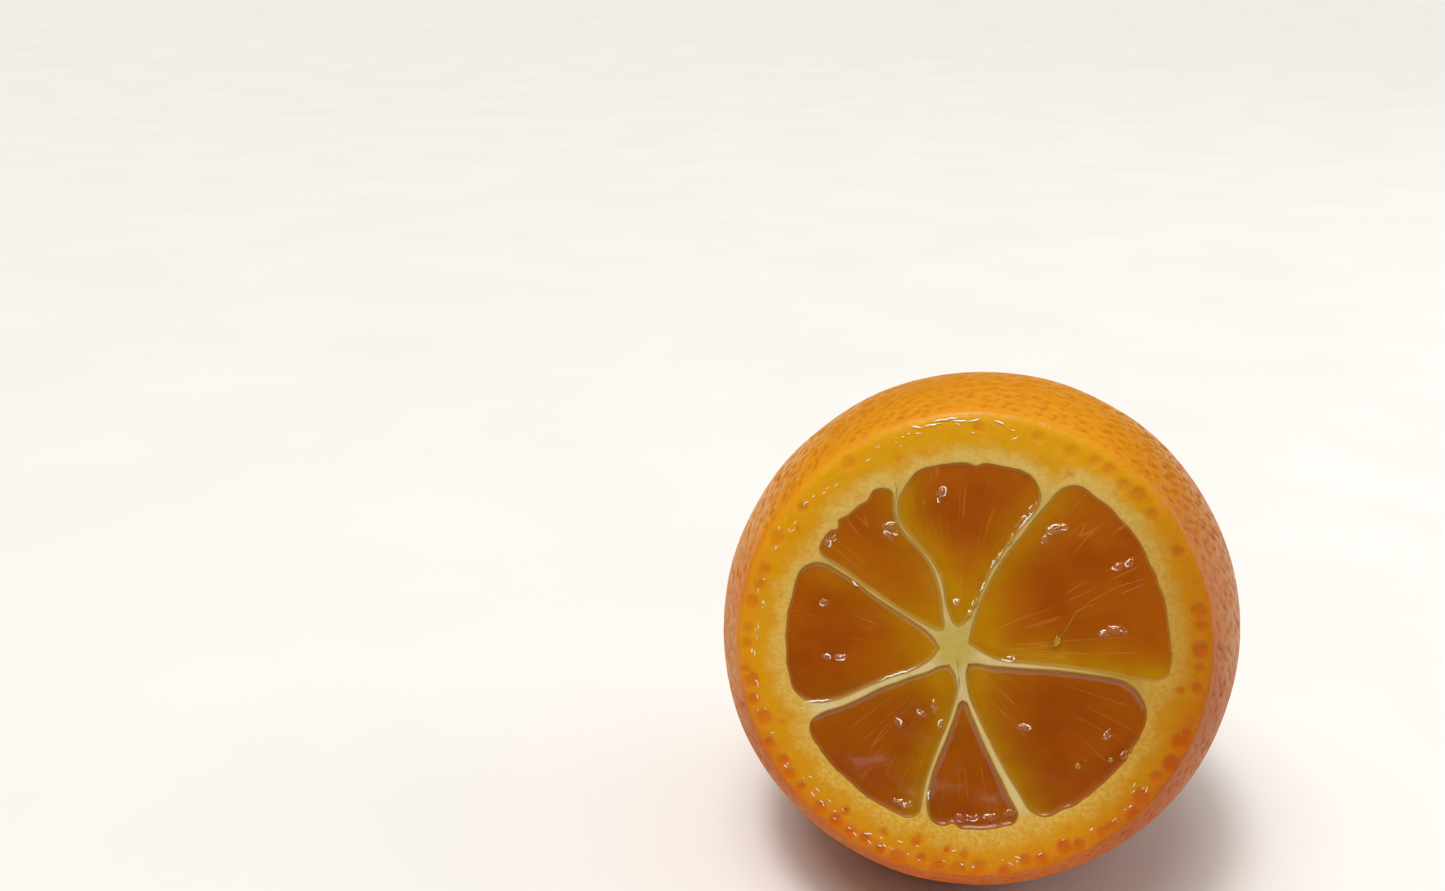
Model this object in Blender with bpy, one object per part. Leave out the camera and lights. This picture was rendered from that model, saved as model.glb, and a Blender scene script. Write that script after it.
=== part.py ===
"""The larger part of a kumquat that was cut crosswise, lying on its side.

Metres, +Z up. The fruit rests on a small flat spot, with its cut face towards -Y and leaning
back, and its stem end hidden behind. The origin is under the middle of its box. Each piece is
made in the fruit's own axes: X to the right and Y up across the cut face, and Z along the
fruit, out of the cut. One empty then lays them all down together.
"""
import math
import random
from dataclasses import dataclass

import bmesh
import bpy
from mathutils import Euler, Vector

MM = 0.001

# The whole fruit is an ovoid, slightly out of round, and the cut crosses it ahead of its belly
BELLY_RADIUS = 16.0 * MM
HALF_LENGTH = 19.2 * MM
CUT_RADIUS = 13.4 * MM
CUT_AHEAD = HALF_LENGTH * math.sqrt(1 - (CUT_RADIUS / BELLY_RADIUS) ** 2)
OUT_OF_ROUND = 0.011
OUT_OF_ROUND_BEARING = math.radians(44)

# How it lies: the lean of the cut face, and the oval spot that it rests on. The spot is flat,
# a little hollow inside its rim, and the skin round it starts a step higher, so that the fruit
# stands on the rim alone
LEAN = math.radians(17.5)
FLAT_DEPTH = 0.4 * MM
FLAT_HALF_WIDTH = 3.5 * MM
FLAT_HALF_LENGTH = 4.25 * MM
FLAT_CORNERS = 16
FLAT_CLEARANCE = 0.35 * MM
FLAT_RIM_WIDTH = 0.5 * MM
FLAT_HOLLOW = 0.1 * MM
DOWN = Vector((0, -math.cos(LEAN), -math.sin(LEAN)))
FLAT_ACROSS = Vector((1, 0, 0))
FLAT_ALONG = DOWN.cross(FLAT_ACROSS)

# Skin: an even net of triangles, with an oil pit pushed in at about every second point
NET_STEPS = 18
PIT_DEPTH = 0.15 * MM
PIT_SHALLOWEST = 0.6
PIT_CLEAR_OF_EDGE = 0.7 * MM
SNAP_TO_CUT = 0.2 * MM
PIT_SEED = 7

# Scar where the stem came off: a dimple, with the calyx's five points in it
SCAR_RADIUS = 2.6 * MM
SCAR_DEPTH = 0.7 * MM
CALYX_RADIUS = 1.7 * MM
CALYX_NOTCH = 0.62
CALYX_TOP = 0.7
CALYX_HEIGHT = 1.0 * MM
CALYX_PROUD = 0.35 * MM
CALYX_POINTS = 5

# Juicy inside: an ovoid of its own, and its walls round a core that is off the middle
PULP_RADIUS = 10.6 * MM
PULP_HALF_LENGTH = 16.6 * MM
PULP_BELLY_RADIUS = PULP_RADIUS / math.sqrt(1 - (CUT_AHEAD / PULP_HALF_LENGTH) ** 2)
PULP_TAIL_RADIUS = 5.0 * MM
PULP_RECESS = 0.15 * MM
CORE_MIDDLE = Vector((-0.66, -0.24)) * MM
CORE_RADIUS = 1.5 * MM
SEPTUM_THICKNESS = 0.6 * MM
SEPTUM_START = 2.0 * MM
SEPTUM_END = 9.8 * MM
GAP = 0.25 * MM

# Outline of a segment: its tip, its notch, and the steps that its curves are made in
TIP_WIDTH = 0.5 * MM
NOTCH_DEPTH = 0.3 * MM
NOTCH_HALF_ANGLE = math.radians(3.2)
TIP_SEARCH_STEP = 0.05 * MM
TAIL_CLEAR_OF_TIP = 1.2 * MM
SIDE_STEPS = 5
CORNER_STEPS = 4
ARC_STEPS = 10
LENGTH_STEPS = 6
CUTTER_OVERSHOOT = 1.0 * MM

PEEL_COLOUR = (0.83, 0.30, 0.01, 1)
PULP_COLOUR = (0.42, 0.12, 0.005, 1)


def signed_turn(angle):
    """The same angle between minus and plus half a turn."""
    return (angle + math.pi) % (2 * math.pi) - math.pi


@dataclass
class Septum:
    """Thin wall between two segments: its bearing round the core, in degrees."""

    at_core: float
    at_rim: float
    bow: float
    wave: float

    def bearing(self, radius):
        """Bearing in radians at a radius from the core's middle."""
        step = (radius - SEPTUM_START) / (SEPTUM_END - SEPTUM_START)
        step = min(max(step, 0), 1)
        swing = 4 * step * (1 - step) * self.bow + math.sin(2 * math.pi * step) * self.wave
        return math.radians(self.at_core + (self.at_rim - self.at_core) * step + swing)

    def point(self, radius, offset):
        """Point beside the wall's middle line, on its anticlockwise side for a plus offset."""
        angle = self.bearing(radius)
        along = Vector((math.cos(angle), math.sin(angle)))
        across = Vector((-math.sin(angle), math.cos(angle)))
        return CORE_MIDDLE + along * radius + across * offset

    def swung_point(self, radius, swing):
        """Point at the same radius, a distance round from the wall's middle line."""
        angle = self.bearing(radius) + swing / radius
        return CORE_MIDDLE + Vector((math.cos(angle), math.sin(angle))) * radius


@dataclass
class Segment:
    """One juicy segment between two walls.

    bulge is how far it reaches past the others, and corners are the radii of its two outer
    corners, the one at the clockwise wall first.
    """

    name: str
    clockwise_wall: Septum
    anticlockwise_wall: Septum
    bulge: float
    corners: tuple
    notch_bearing: float = None

    def span(self, radius):
        """The two walls' bearings at a radius, less than half a turn apart."""
        first = self.clockwise_wall.bearing(radius)
        second = self.anticlockwise_wall.bearing(radius)
        return first, first + signed_turn(second - first)

    def tip_radius(self):
        """Radius from the core's middle where the walls leave room for the tip."""
        radius = CORE_RADIUS
        needed = SEPTUM_THICKNESS + 2 * GAP + TIP_WIDTH
        first, second = self.span(radius)
        while (second - first) * radius < needed:
            radius += TIP_SEARCH_STEP
            first, second = self.span(radius)
        return radius

    def rim_radius(self, bearing, reach):
        """Radius from the core's middle out to a circle round the fruit's axis."""
        along = CORE_MIDDLE.dot(Vector((math.cos(bearing), math.sin(bearing))))
        radius = math.sqrt(along ** 2 - CORE_MIDDLE.length_squared + reach ** 2) - along
        if self.notch_bearing is not None:
            off = signed_turn(bearing - math.radians(self.notch_bearing))
            radius -= NOTCH_DEPTH * math.exp(-(off / NOTCH_HALF_ANGLE) ** 2)
        return radius

    def outline(self, reach, grow):
        """Closed outline, anticlockwise, of the pulp, or of its pocket where grow is the gap."""
        wall = SEPTUM_THICKNESS / 2 + GAP - grow
        reach = reach + grow
        tip = self.tip_radius() - grow
        shrink = reach / (PULP_RADIUS + self.bulge)
        corner_a, corner_b = (corner * shrink + grow for corner in self.corners)
        first, second = self.span(reach)
        arc_start = first + (wall + corner_a) / reach
        arc_end = second - (wall + corner_b) / reach
        rim_a = self.rim_radius(arc_start, reach)
        rim_b = self.rim_radius(arc_end, reach)
        side_a = self.side(self.clockwise_wall, 1, tip, wall, corner_a, rim_a)
        side_b = self.side(self.anticlockwise_wall, -1, tip, wall, corner_b, rim_b)
        arc = []
        for step in range(ARC_STEPS + 1):
            bearing = arc_start + (arc_end - arc_start) * step / ARC_STEPS
            along = Vector((math.cos(bearing), math.sin(bearing)))
            arc.append(CORE_MIDDLE + along * self.rim_radius(bearing, reach))
        nose = (side_a[0] + side_b[0]) / 2
        nose += (CORE_MIDDLE - nose).normalized() * (side_a[0] - side_b[0]).length / 3
        return side_a + arc + side_b[::-1] + [nose]

    def side(self, septum, sign, tip, wall, corner, rim):
        """Points along one wall from the tip out, and round most of the corner."""
        points = []
        for step in range(SIDE_STEPS + 1):
            radius = tip + (rim - corner - tip) * step / SIDE_STEPS
            points.append(septum.point(radius, sign * wall))
        for step in range(1, CORNER_STEPS):
            turn = math.pi / 2 * step / CORNER_STEPS
            radius = rim - corner * (1 - math.sin(turn))
            points.append(septum.swung_point(radius, sign * (wall + corner * (1 - math.cos(turn)))))
        return points


WALL_TOP_LEFT = Septum(at_core=110.8, at_rim=114.1, bow=0.6, wave=-4.4)
WALL_TOP_RIGHT = Septum(at_core=66.9, at_rim=63.2, bow=2.8, wave=1.0)
WALL_RIGHT = Septum(at_core=-16.5, at_rim=-4.8, bow=4.9, wave=0.7)
WALL_LOWER_RIGHT = Septum(at_core=-75.5, at_rim=-63.8, bow=2.0, wave=0.3)
WALL_LOWER_LEFT = Septum(at_core=-79.5, at_rim=-96.9, bow=-7.0, wave=-0.1)
WALL_LEFT = Septum(at_core=-140.8, at_rim=-153.9, bow=-1.6, wave=-2.2)
WALL_UPPER_LEFT = Septum(at_core=150.2, at_rim=151.6, bow=0.2, wave=0.8)

SEGMENTS = [
    Segment("segment_top", WALL_TOP_RIGHT, WALL_TOP_LEFT, -0.1 * MM, (2.0 * MM, 2.1 * MM), 88),
    Segment("segment_upper_right", WALL_RIGHT, WALL_TOP_RIGHT, 0.6 * MM, (0.9 * MM, 1.4 * MM)),
    Segment("segment_lower_right", WALL_LOWER_RIGHT, WALL_RIGHT, 0.15 * MM, (1.2 * MM, 2.4 * MM)),
    Segment("segment_bottom", WALL_LOWER_LEFT, WALL_LOWER_RIGHT, 0.0, (0.9 * MM, 0.7 * MM), -87),
    Segment("segment_lower_left", WALL_LEFT, WALL_LOWER_LEFT, 0.1 * MM, (1.9 * MM, 0.9 * MM)),
    Segment("segment_left", WALL_UPPER_LEFT, WALL_LEFT, 0.0, (1.4 * MM, 1.1 * MM)),
    Segment("segment_upper_left", WALL_TOP_LEFT, WALL_UPPER_LEFT, -0.55 * MM, (1.1 * MM, 0.9 * MM), 139),
]


def clear_scene():
    """Remove what the new file starts with."""
    for thing in list(bpy.data.objects):
        bpy.data.objects.remove(thing)


def make_collection(name):
    """Collection linked to the scene."""
    collection = bpy.data.collections.new(name)
    bpy.context.scene.collection.children.link(collection)
    return collection


def make_material(name, colour, roughness):
    """Plain Principled material."""
    material = bpy.data.materials.new(name)
    material.use_nodes = True
    shader = material.node_tree.nodes["Principled BSDF"]
    shader.inputs["Base Color"].default_value = colour
    shader.inputs["Roughness"].default_value = roughness
    shader.inputs["Metallic"].default_value = 0.0
    return material


def place_mesh(name, bm, collection, parent):
    """Turn a bmesh into an object that hangs on the fruit's empty."""
    mesh = bpy.data.meshes.new(name)
    bmesh.ops.recalc_face_normals(bm, faces=bm.faces[:])
    bm.to_mesh(mesh)
    bm.free()
    thing = bpy.data.objects.new(name, mesh)
    collection.objects.link(thing)
    thing.parent = parent
    return thing


def shape_fruit(bm):
    """Stretch a unit ball to the fruit's ovoid, with the dimple at its stem end."""
    for vert in bm.verts:
        vert.co.normalize()
        bearing = math.atan2(vert.co.y, vert.co.x)
        girth = 1 + OUT_OF_ROUND * math.cos(2 * (bearing - OUT_OF_ROUND_BEARING))
        vert.co.x *= BELLY_RADIUS * girth
        vert.co.y *= BELLY_RADIUS * girth
        vert.co.z *= HALF_LENGTH
        if vert.co.z < 0:
            off_axis = math.hypot(vert.co.x, vert.co.y)
            vert.co.z += SCAR_DEPTH * math.exp(-(off_axis / SCAR_RADIUS) ** 2)
    bm.normal_update()


def push_pits(bm, lowest):
    """Push in scattered points of the net, no two of them neighbours."""
    draw = random.Random(PIT_SEED)
    order = list(bm.verts)
    draw.shuffle(order)
    pits = set()
    for vert in order:
        depth = PIT_DEPTH * draw.uniform(PIT_SHALLOWEST, 1)
        near_cut = abs(vert.co.z - CUT_AHEAD) < PIT_CLEAR_OF_EDGE
        near_flat = vert.co.dot(DOWN) > lowest - FLAT_DEPTH - FLAT_CLEARANCE - PIT_DEPTH
        in_scar = vert.co.z < 0 and math.hypot(vert.co.x, vert.co.y) < SCAR_RADIUS
        crowded = any(edge.other_vert(vert) in pits for edge in vert.link_edges)
        if near_cut or near_flat or in_scar or crowded:
            continue
        pits.add(vert)
        vert.co -= vert.normal * depth


def open_loop(bm):
    """Points round the one hole in the skin, in order."""
    edges = [edge for edge in bm.edges if edge.is_boundary]
    first = edges[0].verts[0]
    loop = [first, edges[0].verts[1]]
    while True:
        here, before = loop[-1], loop[-2]
        steps = [edge.other_vert(here) for edge in here.link_edges if edge.is_boundary]
        after = steps[0] if steps[1] is before else steps[1]
        if after is first:
            return loop
        loop.append(after)


def middle_along(points, axis):
    """Halfway between the first and the last of the points along an axis."""
    reaches = [point.dot(axis) for point in points]
    return axis * (min(reaches) + max(reaches)) / 2


def press_flat(bm, lowest):
    """Swap the lowest skin for a flat oval spot, hollow inside its rim and joined to the skin round it."""
    level = lowest - FLAT_DEPTH
    under = [vert for vert in bm.verts if vert.co.dot(DOWN) > level - FLAT_CLEARANCE]
    bmesh.ops.delete(bm, geom=under, context="VERTS")
    loop = open_loop(bm)
    if sum(here.co.cross(after.co).dot(DOWN) for here, after in zip(loop, loop[1:] + loop[:1])) < 0:
        loop.reverse()
    around = [vert.co for vert in loop]
    middle = middle_along(around, FLAT_ACROSS) + middle_along(around, FLAT_ALONG) + DOWN * level
    corners = []
    for corner in range(FLAT_CORNERS):
        angle = 2 * math.pi * corner / FLAT_CORNERS
        across = FLAT_ACROSS * FLAT_HALF_WIDTH * math.cos(angle)
        along = FLAT_ALONG * FLAT_HALF_LENGTH * math.sin(angle)
        corners.append(bm.verts.new(middle + across + along))
    spot = bm.faces.new(corners)
    pivots = []
    for here, after in zip(corners, corners[1:] + corners[:1]):
        side = (here.co + after.co) / 2
        pivots.append(min(range(len(loop)), key=lambda place: (loop[place].co - side).length))
    for turn, corner in enumerate(corners):
        place = pivots[turn - 1]
        while place != pivots[turn]:
            after = (place + 1) % len(loop)
            bm.faces.new((loop[place], loop[after], corner))
            place = after
        bm.faces.new((loop[place], corner, corners[(turn + 1) % FLAT_CORNERS]))
    bm.normal_update()
    bmesh.ops.inset_region(bm, faces=[spot], thickness=FLAT_RIM_WIDTH)
    bmesh.ops.translate(bm, verts=spot.verts[:], vec=-DOWN * FLAT_HOLLOW)


def cut_across(bm):
    """Slice the front off the fruit and close the cut with one flat face."""
    geometry = bm.verts[:] + bm.edges[:] + bm.faces[:]
    sliced = bmesh.ops.bisect_plane(
        bm,
        geom=geometry,
        dist=SNAP_TO_CUT,
        plane_co=(0, 0, CUT_AHEAD),
        plane_no=(0, 0, 1),
        use_snap_center=True,
        clear_outer=True,
    )
    rim = [item for item in sliced["geom_cut"] if isinstance(item, bmesh.types.BMEdge)]
    bmesh.ops.edgeloop_fill(bm, edges=rim)


def make_skin(collection, parent):
    """The cut fruit as one closed body, before its pockets are opened."""
    bm = bmesh.new()
    bmesh.ops.create_icosphere(bm, subdivisions=1, radius=1)
    bmesh.ops.subdivide_edges(bm, edges=bm.edges[:], cuts=NET_STEPS - 1, use_grid_fill=True)
    shape_fruit(bm)
    lowest = max(vert.co.dot(DOWN) for vert in bm.verts)
    push_pits(bm, lowest)
    press_flat(bm, lowest)
    cut_across(bm)
    return place_mesh("peel", bm, collection, parent)


def make_calyx(collection, parent):
    """Five-pointed button in the stem's scar."""
    bm = bmesh.new()
    bmesh.ops.create_cone(
        bm,
        cap_ends=True,
        segments=2 * CALYX_POINTS,
        radius1=CALYX_RADIUS * CALYX_TOP,
        radius2=CALYX_RADIUS,
        depth=CALYX_HEIGHT,
    )
    for vert in bm.verts:
        corner = round(math.atan2(vert.co.y, vert.co.x) * CALYX_POINTS / math.pi)
        if corner % 2:
            vert.co.x *= CALYX_NOTCH
            vert.co.y *= CALYX_NOTCH
    floor = -HALF_LENGTH + SCAR_DEPTH
    bmesh.ops.translate(bm, verts=bm.verts[:], vec=(0, 0, floor - CALYX_PROUD + CALYX_HEIGHT / 2))
    return place_mesh("calyx", bm, collection, parent)


def pulp_reach(along):
    """Radius of the juicy inside at a place along the fruit."""
    return PULP_BELLY_RADIUS * math.sqrt(1 - (along / PULP_HALF_LENGTH) ** 2)


def stations(grow):
    """Places along the fruit where a segment's outline, or its pocket's, is set."""
    start = math.asin(CUT_AHEAD / PULP_HALF_LENGTH)
    end = -math.acos(PULP_TAIL_RADIUS / PULP_BELLY_RADIUS)
    places = [CUT_AHEAD + CUTTER_OVERSHOOT, CUT_AHEAD] if grow else [CUT_AHEAD - PULP_RECESS]
    for step in range(1, LENGTH_STEPS + 1):
        places.append(PULP_HALF_LENGTH * math.sin(start + (end - start) * step / LENGTH_STEPS))
    places[-1] -= grow
    return places


def loft_segment(segment, grow, name, collection, parent):
    """Body through a segment's outlines, from the cut back to the stem end."""
    bm = bmesh.new()
    rings = []
    for along in stations(grow):
        reach = pulp_reach(min(along, CUT_AHEAD)) + segment.bulge
        reach = max(reach, segment.tip_radius() + TAIL_CLEAR_OF_TIP)
        outline = segment.outline(reach, grow)
        rings.append([bm.verts.new((point.x, point.y, along)) for point in outline])
    count = len(rings[0])
    for upper, lower in zip(rings, rings[1:]):
        for index in range(count):
            after = (index + 1) % count
            bm.faces.new((upper[index], lower[index], lower[after], upper[after]))
    bm.faces.new(rings[0])
    bm.faces.new(rings[-1][::-1])
    return place_mesh(name, bm, collection, parent)


def as_cutter(thing):
    """Keep a helper out of the finished object."""
    thing.hide_render = True
    thing.display_type = "WIRE"
    return thing


def lay_down(empty, skin):
    """Lean the fruit back and stand its box's underside on the origin."""
    turn = Euler((math.pi / 2 - LEAN, 0, 0))
    points = [turn.to_matrix() @ vert.co for vert in skin.data.vertices]
    low = [min(point[axis] for point in points) for axis in range(3)]
    high = [max(point[axis] for point in points) for axis in range(3)]
    empty.rotation_euler = turn
    empty.location = (-(low[0] + high[0]) / 2, -(low[1] + high[1]) / 2, -low[2])


def main():
    """Build the peel with its pockets, and the segments in them."""
    clear_scene()
    kumquat = make_collection("kumquat")
    cutters = make_collection("kumquat_cutters")
    pockets = make_collection("kumquat_pockets")
    empty = bpy.data.objects.new("kumquat_axes", None)
    kumquat.objects.link(empty)
    peel_material = make_material("peel", PEEL_COLOUR, roughness=0.35)
    pulp_material = make_material("pulp", PULP_COLOUR, roughness=0.12)

    peel = make_skin(kumquat, empty)
    peel.data.materials.append(peel_material)
    lay_down(empty, peel)
    calyx = as_cutter(make_calyx(cutters, empty))
    join = peel.modifiers.new("calyx", "BOOLEAN")
    join.operation = "UNION"
    join.object = calyx

    for segment in SEGMENTS:
        pulp = loft_segment(segment, 0, segment.name, kumquat, empty)
        pulp.data.materials.append(pulp_material)
        as_cutter(loft_segment(segment, GAP, "pocket_" + segment.name, pockets, empty))
    hollow = peel.modifiers.new("pockets", "BOOLEAN")
    hollow.operation = "DIFFERENCE"
    hollow.operand_type = "COLLECTION"
    hollow.collection = pockets


main()
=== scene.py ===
"""Looks of the cut kumquat: its pitted skin, its cut face and its wet segments, on a pale floor.

Every piece is shaped in the fruit's own axes (X to the right and Y up across the cut face, Z along
the fruit and out of the cut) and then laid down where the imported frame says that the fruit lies.
"""
import logging
import math
import random
from dataclasses import dataclass
from enum import Enum
from typing import Optional

import bmesh
import bpy
from mathutils import Euler, Matrix, Vector, noise
from mathutils.kdtree import KDTree


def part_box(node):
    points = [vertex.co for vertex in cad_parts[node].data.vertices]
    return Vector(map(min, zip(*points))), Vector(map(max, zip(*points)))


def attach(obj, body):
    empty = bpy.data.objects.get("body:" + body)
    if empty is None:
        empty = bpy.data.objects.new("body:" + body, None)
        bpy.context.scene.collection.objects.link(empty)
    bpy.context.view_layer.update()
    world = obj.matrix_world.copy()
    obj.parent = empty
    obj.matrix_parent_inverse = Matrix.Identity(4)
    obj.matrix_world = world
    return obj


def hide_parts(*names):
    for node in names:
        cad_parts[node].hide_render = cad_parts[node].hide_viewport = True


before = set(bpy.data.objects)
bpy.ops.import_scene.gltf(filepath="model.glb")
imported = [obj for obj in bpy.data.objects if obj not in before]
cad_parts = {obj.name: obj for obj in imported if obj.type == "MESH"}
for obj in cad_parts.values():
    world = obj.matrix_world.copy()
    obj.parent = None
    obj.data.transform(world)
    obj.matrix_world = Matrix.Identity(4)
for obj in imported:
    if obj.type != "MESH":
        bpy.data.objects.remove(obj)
LOG = logging.getLogger("kumquat")
MM = 0.001
BODY = "root"
MERGE_DISTANCE = 0.001 * MM
COORDINATES = "fruit_mm"
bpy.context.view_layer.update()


class Zone(Enum):
    """Where on the rind a point lies."""

    SKIN = 0
    FACE = 1
    WALL = 2


class Slot(Enum):
    """The record's material slots."""

    PEEL = "peel"
    PULP = "pulp"


def srgb(red: int, green: int, blue: int) -> tuple[float, float, float, float]:
    """Linear colour from the 0 to 255 values that a paint program shows.

    Args:
        red: red, from 0 to 255.
        green: green, from 0 to 255.
        blue: blue, from 0 to 255.

    Returns:
        The colour with an alpha of 1.
    """

    def linear(value: int) -> float:
        """One channel's linear share."""
        share = value / 255
        return share / 12.92 if share <= 0.04045 else ((share + 0.055) / 1.055) ** 2.4

    return linear(red), linear(green), linear(blue), 1.0


def smooth(low: float, high: float, value: float) -> float:
    """Step from 0 at low to 1 at high with a soft start and end."""
    share = min(max((value - low) / (high - low), 0.0), 1.0)
    return share * share * (3 - 2 * share)


def face_swell(spot: Vector) -> float:
    """Slow rise and fall of the cut face, which rind and pulp share."""
    return noise.noise(Vector((spot.x, spot.y, 0)) / (2.6 * MM)) * 0.045 * MM


def signed_turn(angle: float) -> float:
    """The same angle between minus and plus half a turn."""
    return (angle + math.pi) % (2 * math.pi) - math.pi


def heading(angle: float) -> Vector:
    """Unit vector across the cut face at a bearing."""
    return Vector((math.cos(angle), math.sin(angle)))


def resample(points: list[Vector], steps: int) -> list[Vector]:
    """Spread points evenly along an open line.

    Args:
        points: the line's own points.
        steps: the number of equal steps wanted.

    Returns:
        steps + 1 points, the first and last as given.
    """
    lengths = [0.0]
    for before, after in zip(points, points[1:]):
        lengths.append(lengths[-1] + (after - before).length)
    spread = []
    index = 0
    for step in range(steps + 1):
        wanted = lengths[-1] * step / steps
        while index < len(points) - 2 and lengths[index + 1] < wanted:
            index += 1
        share = (wanted - lengths[index]) / max(lengths[index + 1] - lengths[index], 1e-12)
        spread.append(points[index].lerp(points[index + 1], min(share, 1.0)))
    return spread


@dataclass(frozen=True)
class FruitForm:
    """Driving sizes of the fruit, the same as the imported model's."""

    belly_radius: float = 16.0 * MM
    half_length: float = 19.2 * MM
    cut_radius: float = 13.4 * MM
    out_of_round: float = 0.011
    out_of_round_bearing: float = math.radians(44)
    lean: float = math.radians(17.5)
    flat_depth: float = 0.4 * MM
    scar_radius: float = 2.6 * MM
    scar_depth: float = 0.7 * MM
    pulp_radius: float = 10.6 * MM
    pulp_half_length: float = 16.6 * MM
    pulp_tail_radius: float = 5.0 * MM
    core_radius: float = 1.5 * MM

    @property
    def cut_ahead(self) -> float:
        """Distance from the fruit's middle to the cut."""
        return self.half_length * math.sqrt(1 - (self.cut_radius / self.belly_radius) ** 2)

    @property
    def core_middle(self) -> Vector:
        """Middle of the core on the cut face, a little off the fruit's axis."""
        return Vector((-0.66, -0.24)) * MM

    @property
    def down(self) -> Vector:
        """The way down to the floor, in the fruit's own axes."""
        return Vector((0, -math.cos(self.lean), -math.sin(self.lean)))

    def girth(self, bearing: float) -> float:
        """Share by which the fruit is wider than round at a bearing."""
        return 1 + self.out_of_round * math.cos(2 * (bearing - self.out_of_round_bearing))

    def skin_point(self, bearing: float, latitude: float) -> Vector:
        """Point of the smooth skin, dimpled at the stem end.

        Args:
            bearing: bearing round the fruit's axis.
            latitude: minus a quarter turn at the stem end.

        Returns:
            The point, in the fruit's own axes.
        """
        radius = self.belly_radius * self.girth(bearing) * math.cos(latitude)
        along = self.half_length * math.sin(latitude)
        if latitude < 0:
            along += self.scar_depth * math.exp(-(radius / self.scar_radius) ** 2)
        return Vector((radius * math.cos(bearing), radius * math.sin(bearing), along))

    def pulp_reach(self, along: float) -> float:
        """Radius of the juicy inside at a place along the fruit."""
        widest = self.pulp_radius / math.sqrt(1 - (self.cut_ahead / self.pulp_half_length) ** 2)
        return widest * math.sqrt(1 - (along / self.pulp_half_length) ** 2)

    def pulp_stations(self, steps: int) -> list[float]:
        """Places along the fruit behind the cut, back to the pulp's blunt tail.

        Args:
            steps: the number of places wanted.

        Returns:
            Distances along the fruit, from the cut back.
        """
        start = math.asin(self.cut_ahead / self.pulp_half_length)
        end = -math.acos(self.pulp_tail_radius / self.pulp_reach(0))
        turns = [start + (end - start) * step / steps for step in range(1, steps + 1)]
        return [self.pulp_half_length * math.sin(turn) for turn in turns]

    def placing(self) -> Matrix:
        """Where the fruit's own axes lie in the frame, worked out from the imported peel's box.

        Returns:
            The matrix from the fruit's own axes to the frame.
        """
        low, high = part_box("peel")
        half_back = math.hypot(
            self.half_length * math.cos(self.lean), self.belly_radius * math.sin(self.lean)
        )
        half_height = math.hypot(
            self.half_length * math.sin(self.lean), self.belly_radius * math.cos(self.lean)
        )
        middle = Vector((
            (low.x + high.x) / 2,
            high.y - half_back,
            low.z + half_height - self.flat_depth,
        ))
        turn = Euler((math.pi / 2 - self.lean, 0, 0)).to_matrix().to_4x4()
        return Matrix.Translation(middle) @ turn


FORM = FruitForm()


@dataclass(frozen=True)
class Septum:
    """Thin wall between two segments: its bearing round the core, in degrees."""

    at_core: float
    at_rim: float
    bow: float
    wave: float
    half_core: float
    half_rim: float
    pale_core: float
    pale_rim: float
    start: float = 2.0 * MM
    end: float = 9.8 * MM
    root_flare: float = 0.14 * MM
    root_radius: float = 1.4 * MM
    root_reach: float = 0.9 * MM

    def step(self, radius: float) -> float:
        """Share of the way along the wall at a radius from the core's middle."""
        return min(max((radius - self.start) / (self.end - self.start), 0), 1)

    def half(self, radius: float) -> float:
        """Half of the wall's thickness at a radius, a little uneven.

        Args:
            radius: distance from the core's middle.

        Returns:
            Half of the thickness there.
        """
        even = self.half_core + (self.half_rim - self.half_core) * self.step(radius)
        even += self.root_flare * math.exp(-(max(radius - self.root_radius, 0.0) / self.root_reach) ** 2)
        return even + noise.noise(Vector((radius / (1.1 * MM), self.at_rim, 0.5))) * 0.045 * MM

    def pale(self, radius: float) -> float:
        """How white the wall is at a radius."""
        return self.pale_core + (self.pale_rim - self.pale_core) * self.step(radius)

    def bearing(self, radius: float) -> float:
        """Bearing in radians at a radius from the core's middle.

        Args:
            radius: distance from the core's middle.

        Returns:
            The bearing there.
        """
        step = self.step(radius)
        swing = 4 * step * (1 - step) * self.bow + math.sin(2 * math.pi * step) * self.wave
        return math.radians(self.at_core + (self.at_rim - self.at_core) * step + swing)

    def point(self, radius: float, offset: float = 0.0) -> Vector:
        """Point beside the wall's middle line, on its anticlockwise side for a plus offset.

        Args:
            radius: distance from the core's middle.
            offset: distance from the middle line.

        Returns:
            The point across the cut.
        """
        angle = self.bearing(radius)
        across = Vector((-math.sin(angle), math.cos(angle)))
        return FORM.core_middle + heading(angle) * radius + across * offset

    def radius_at(self, reach: float) -> float:
        """Radius from the core's middle where the wall meets a circle round the fruit's axis."""
        return rim_radius(self.bearing(reach), reach)

    def middle_line(self, reach: float, steps: int) -> list[Vector]:
        """Points from the core's middle out to a circle round the fruit's axis."""
        out = self.radius_at(reach)
        return [self.point(out * step / steps) for step in range(steps + 1)]


def rim_radius(bearing: float, reach: float) -> float:
    """Radius from the core's middle out to a circle round the fruit's axis."""
    along = FORM.core_middle.dot(heading(bearing))
    return math.sqrt(along ** 2 - FORM.core_middle.length_squared + reach ** 2) - along


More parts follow.
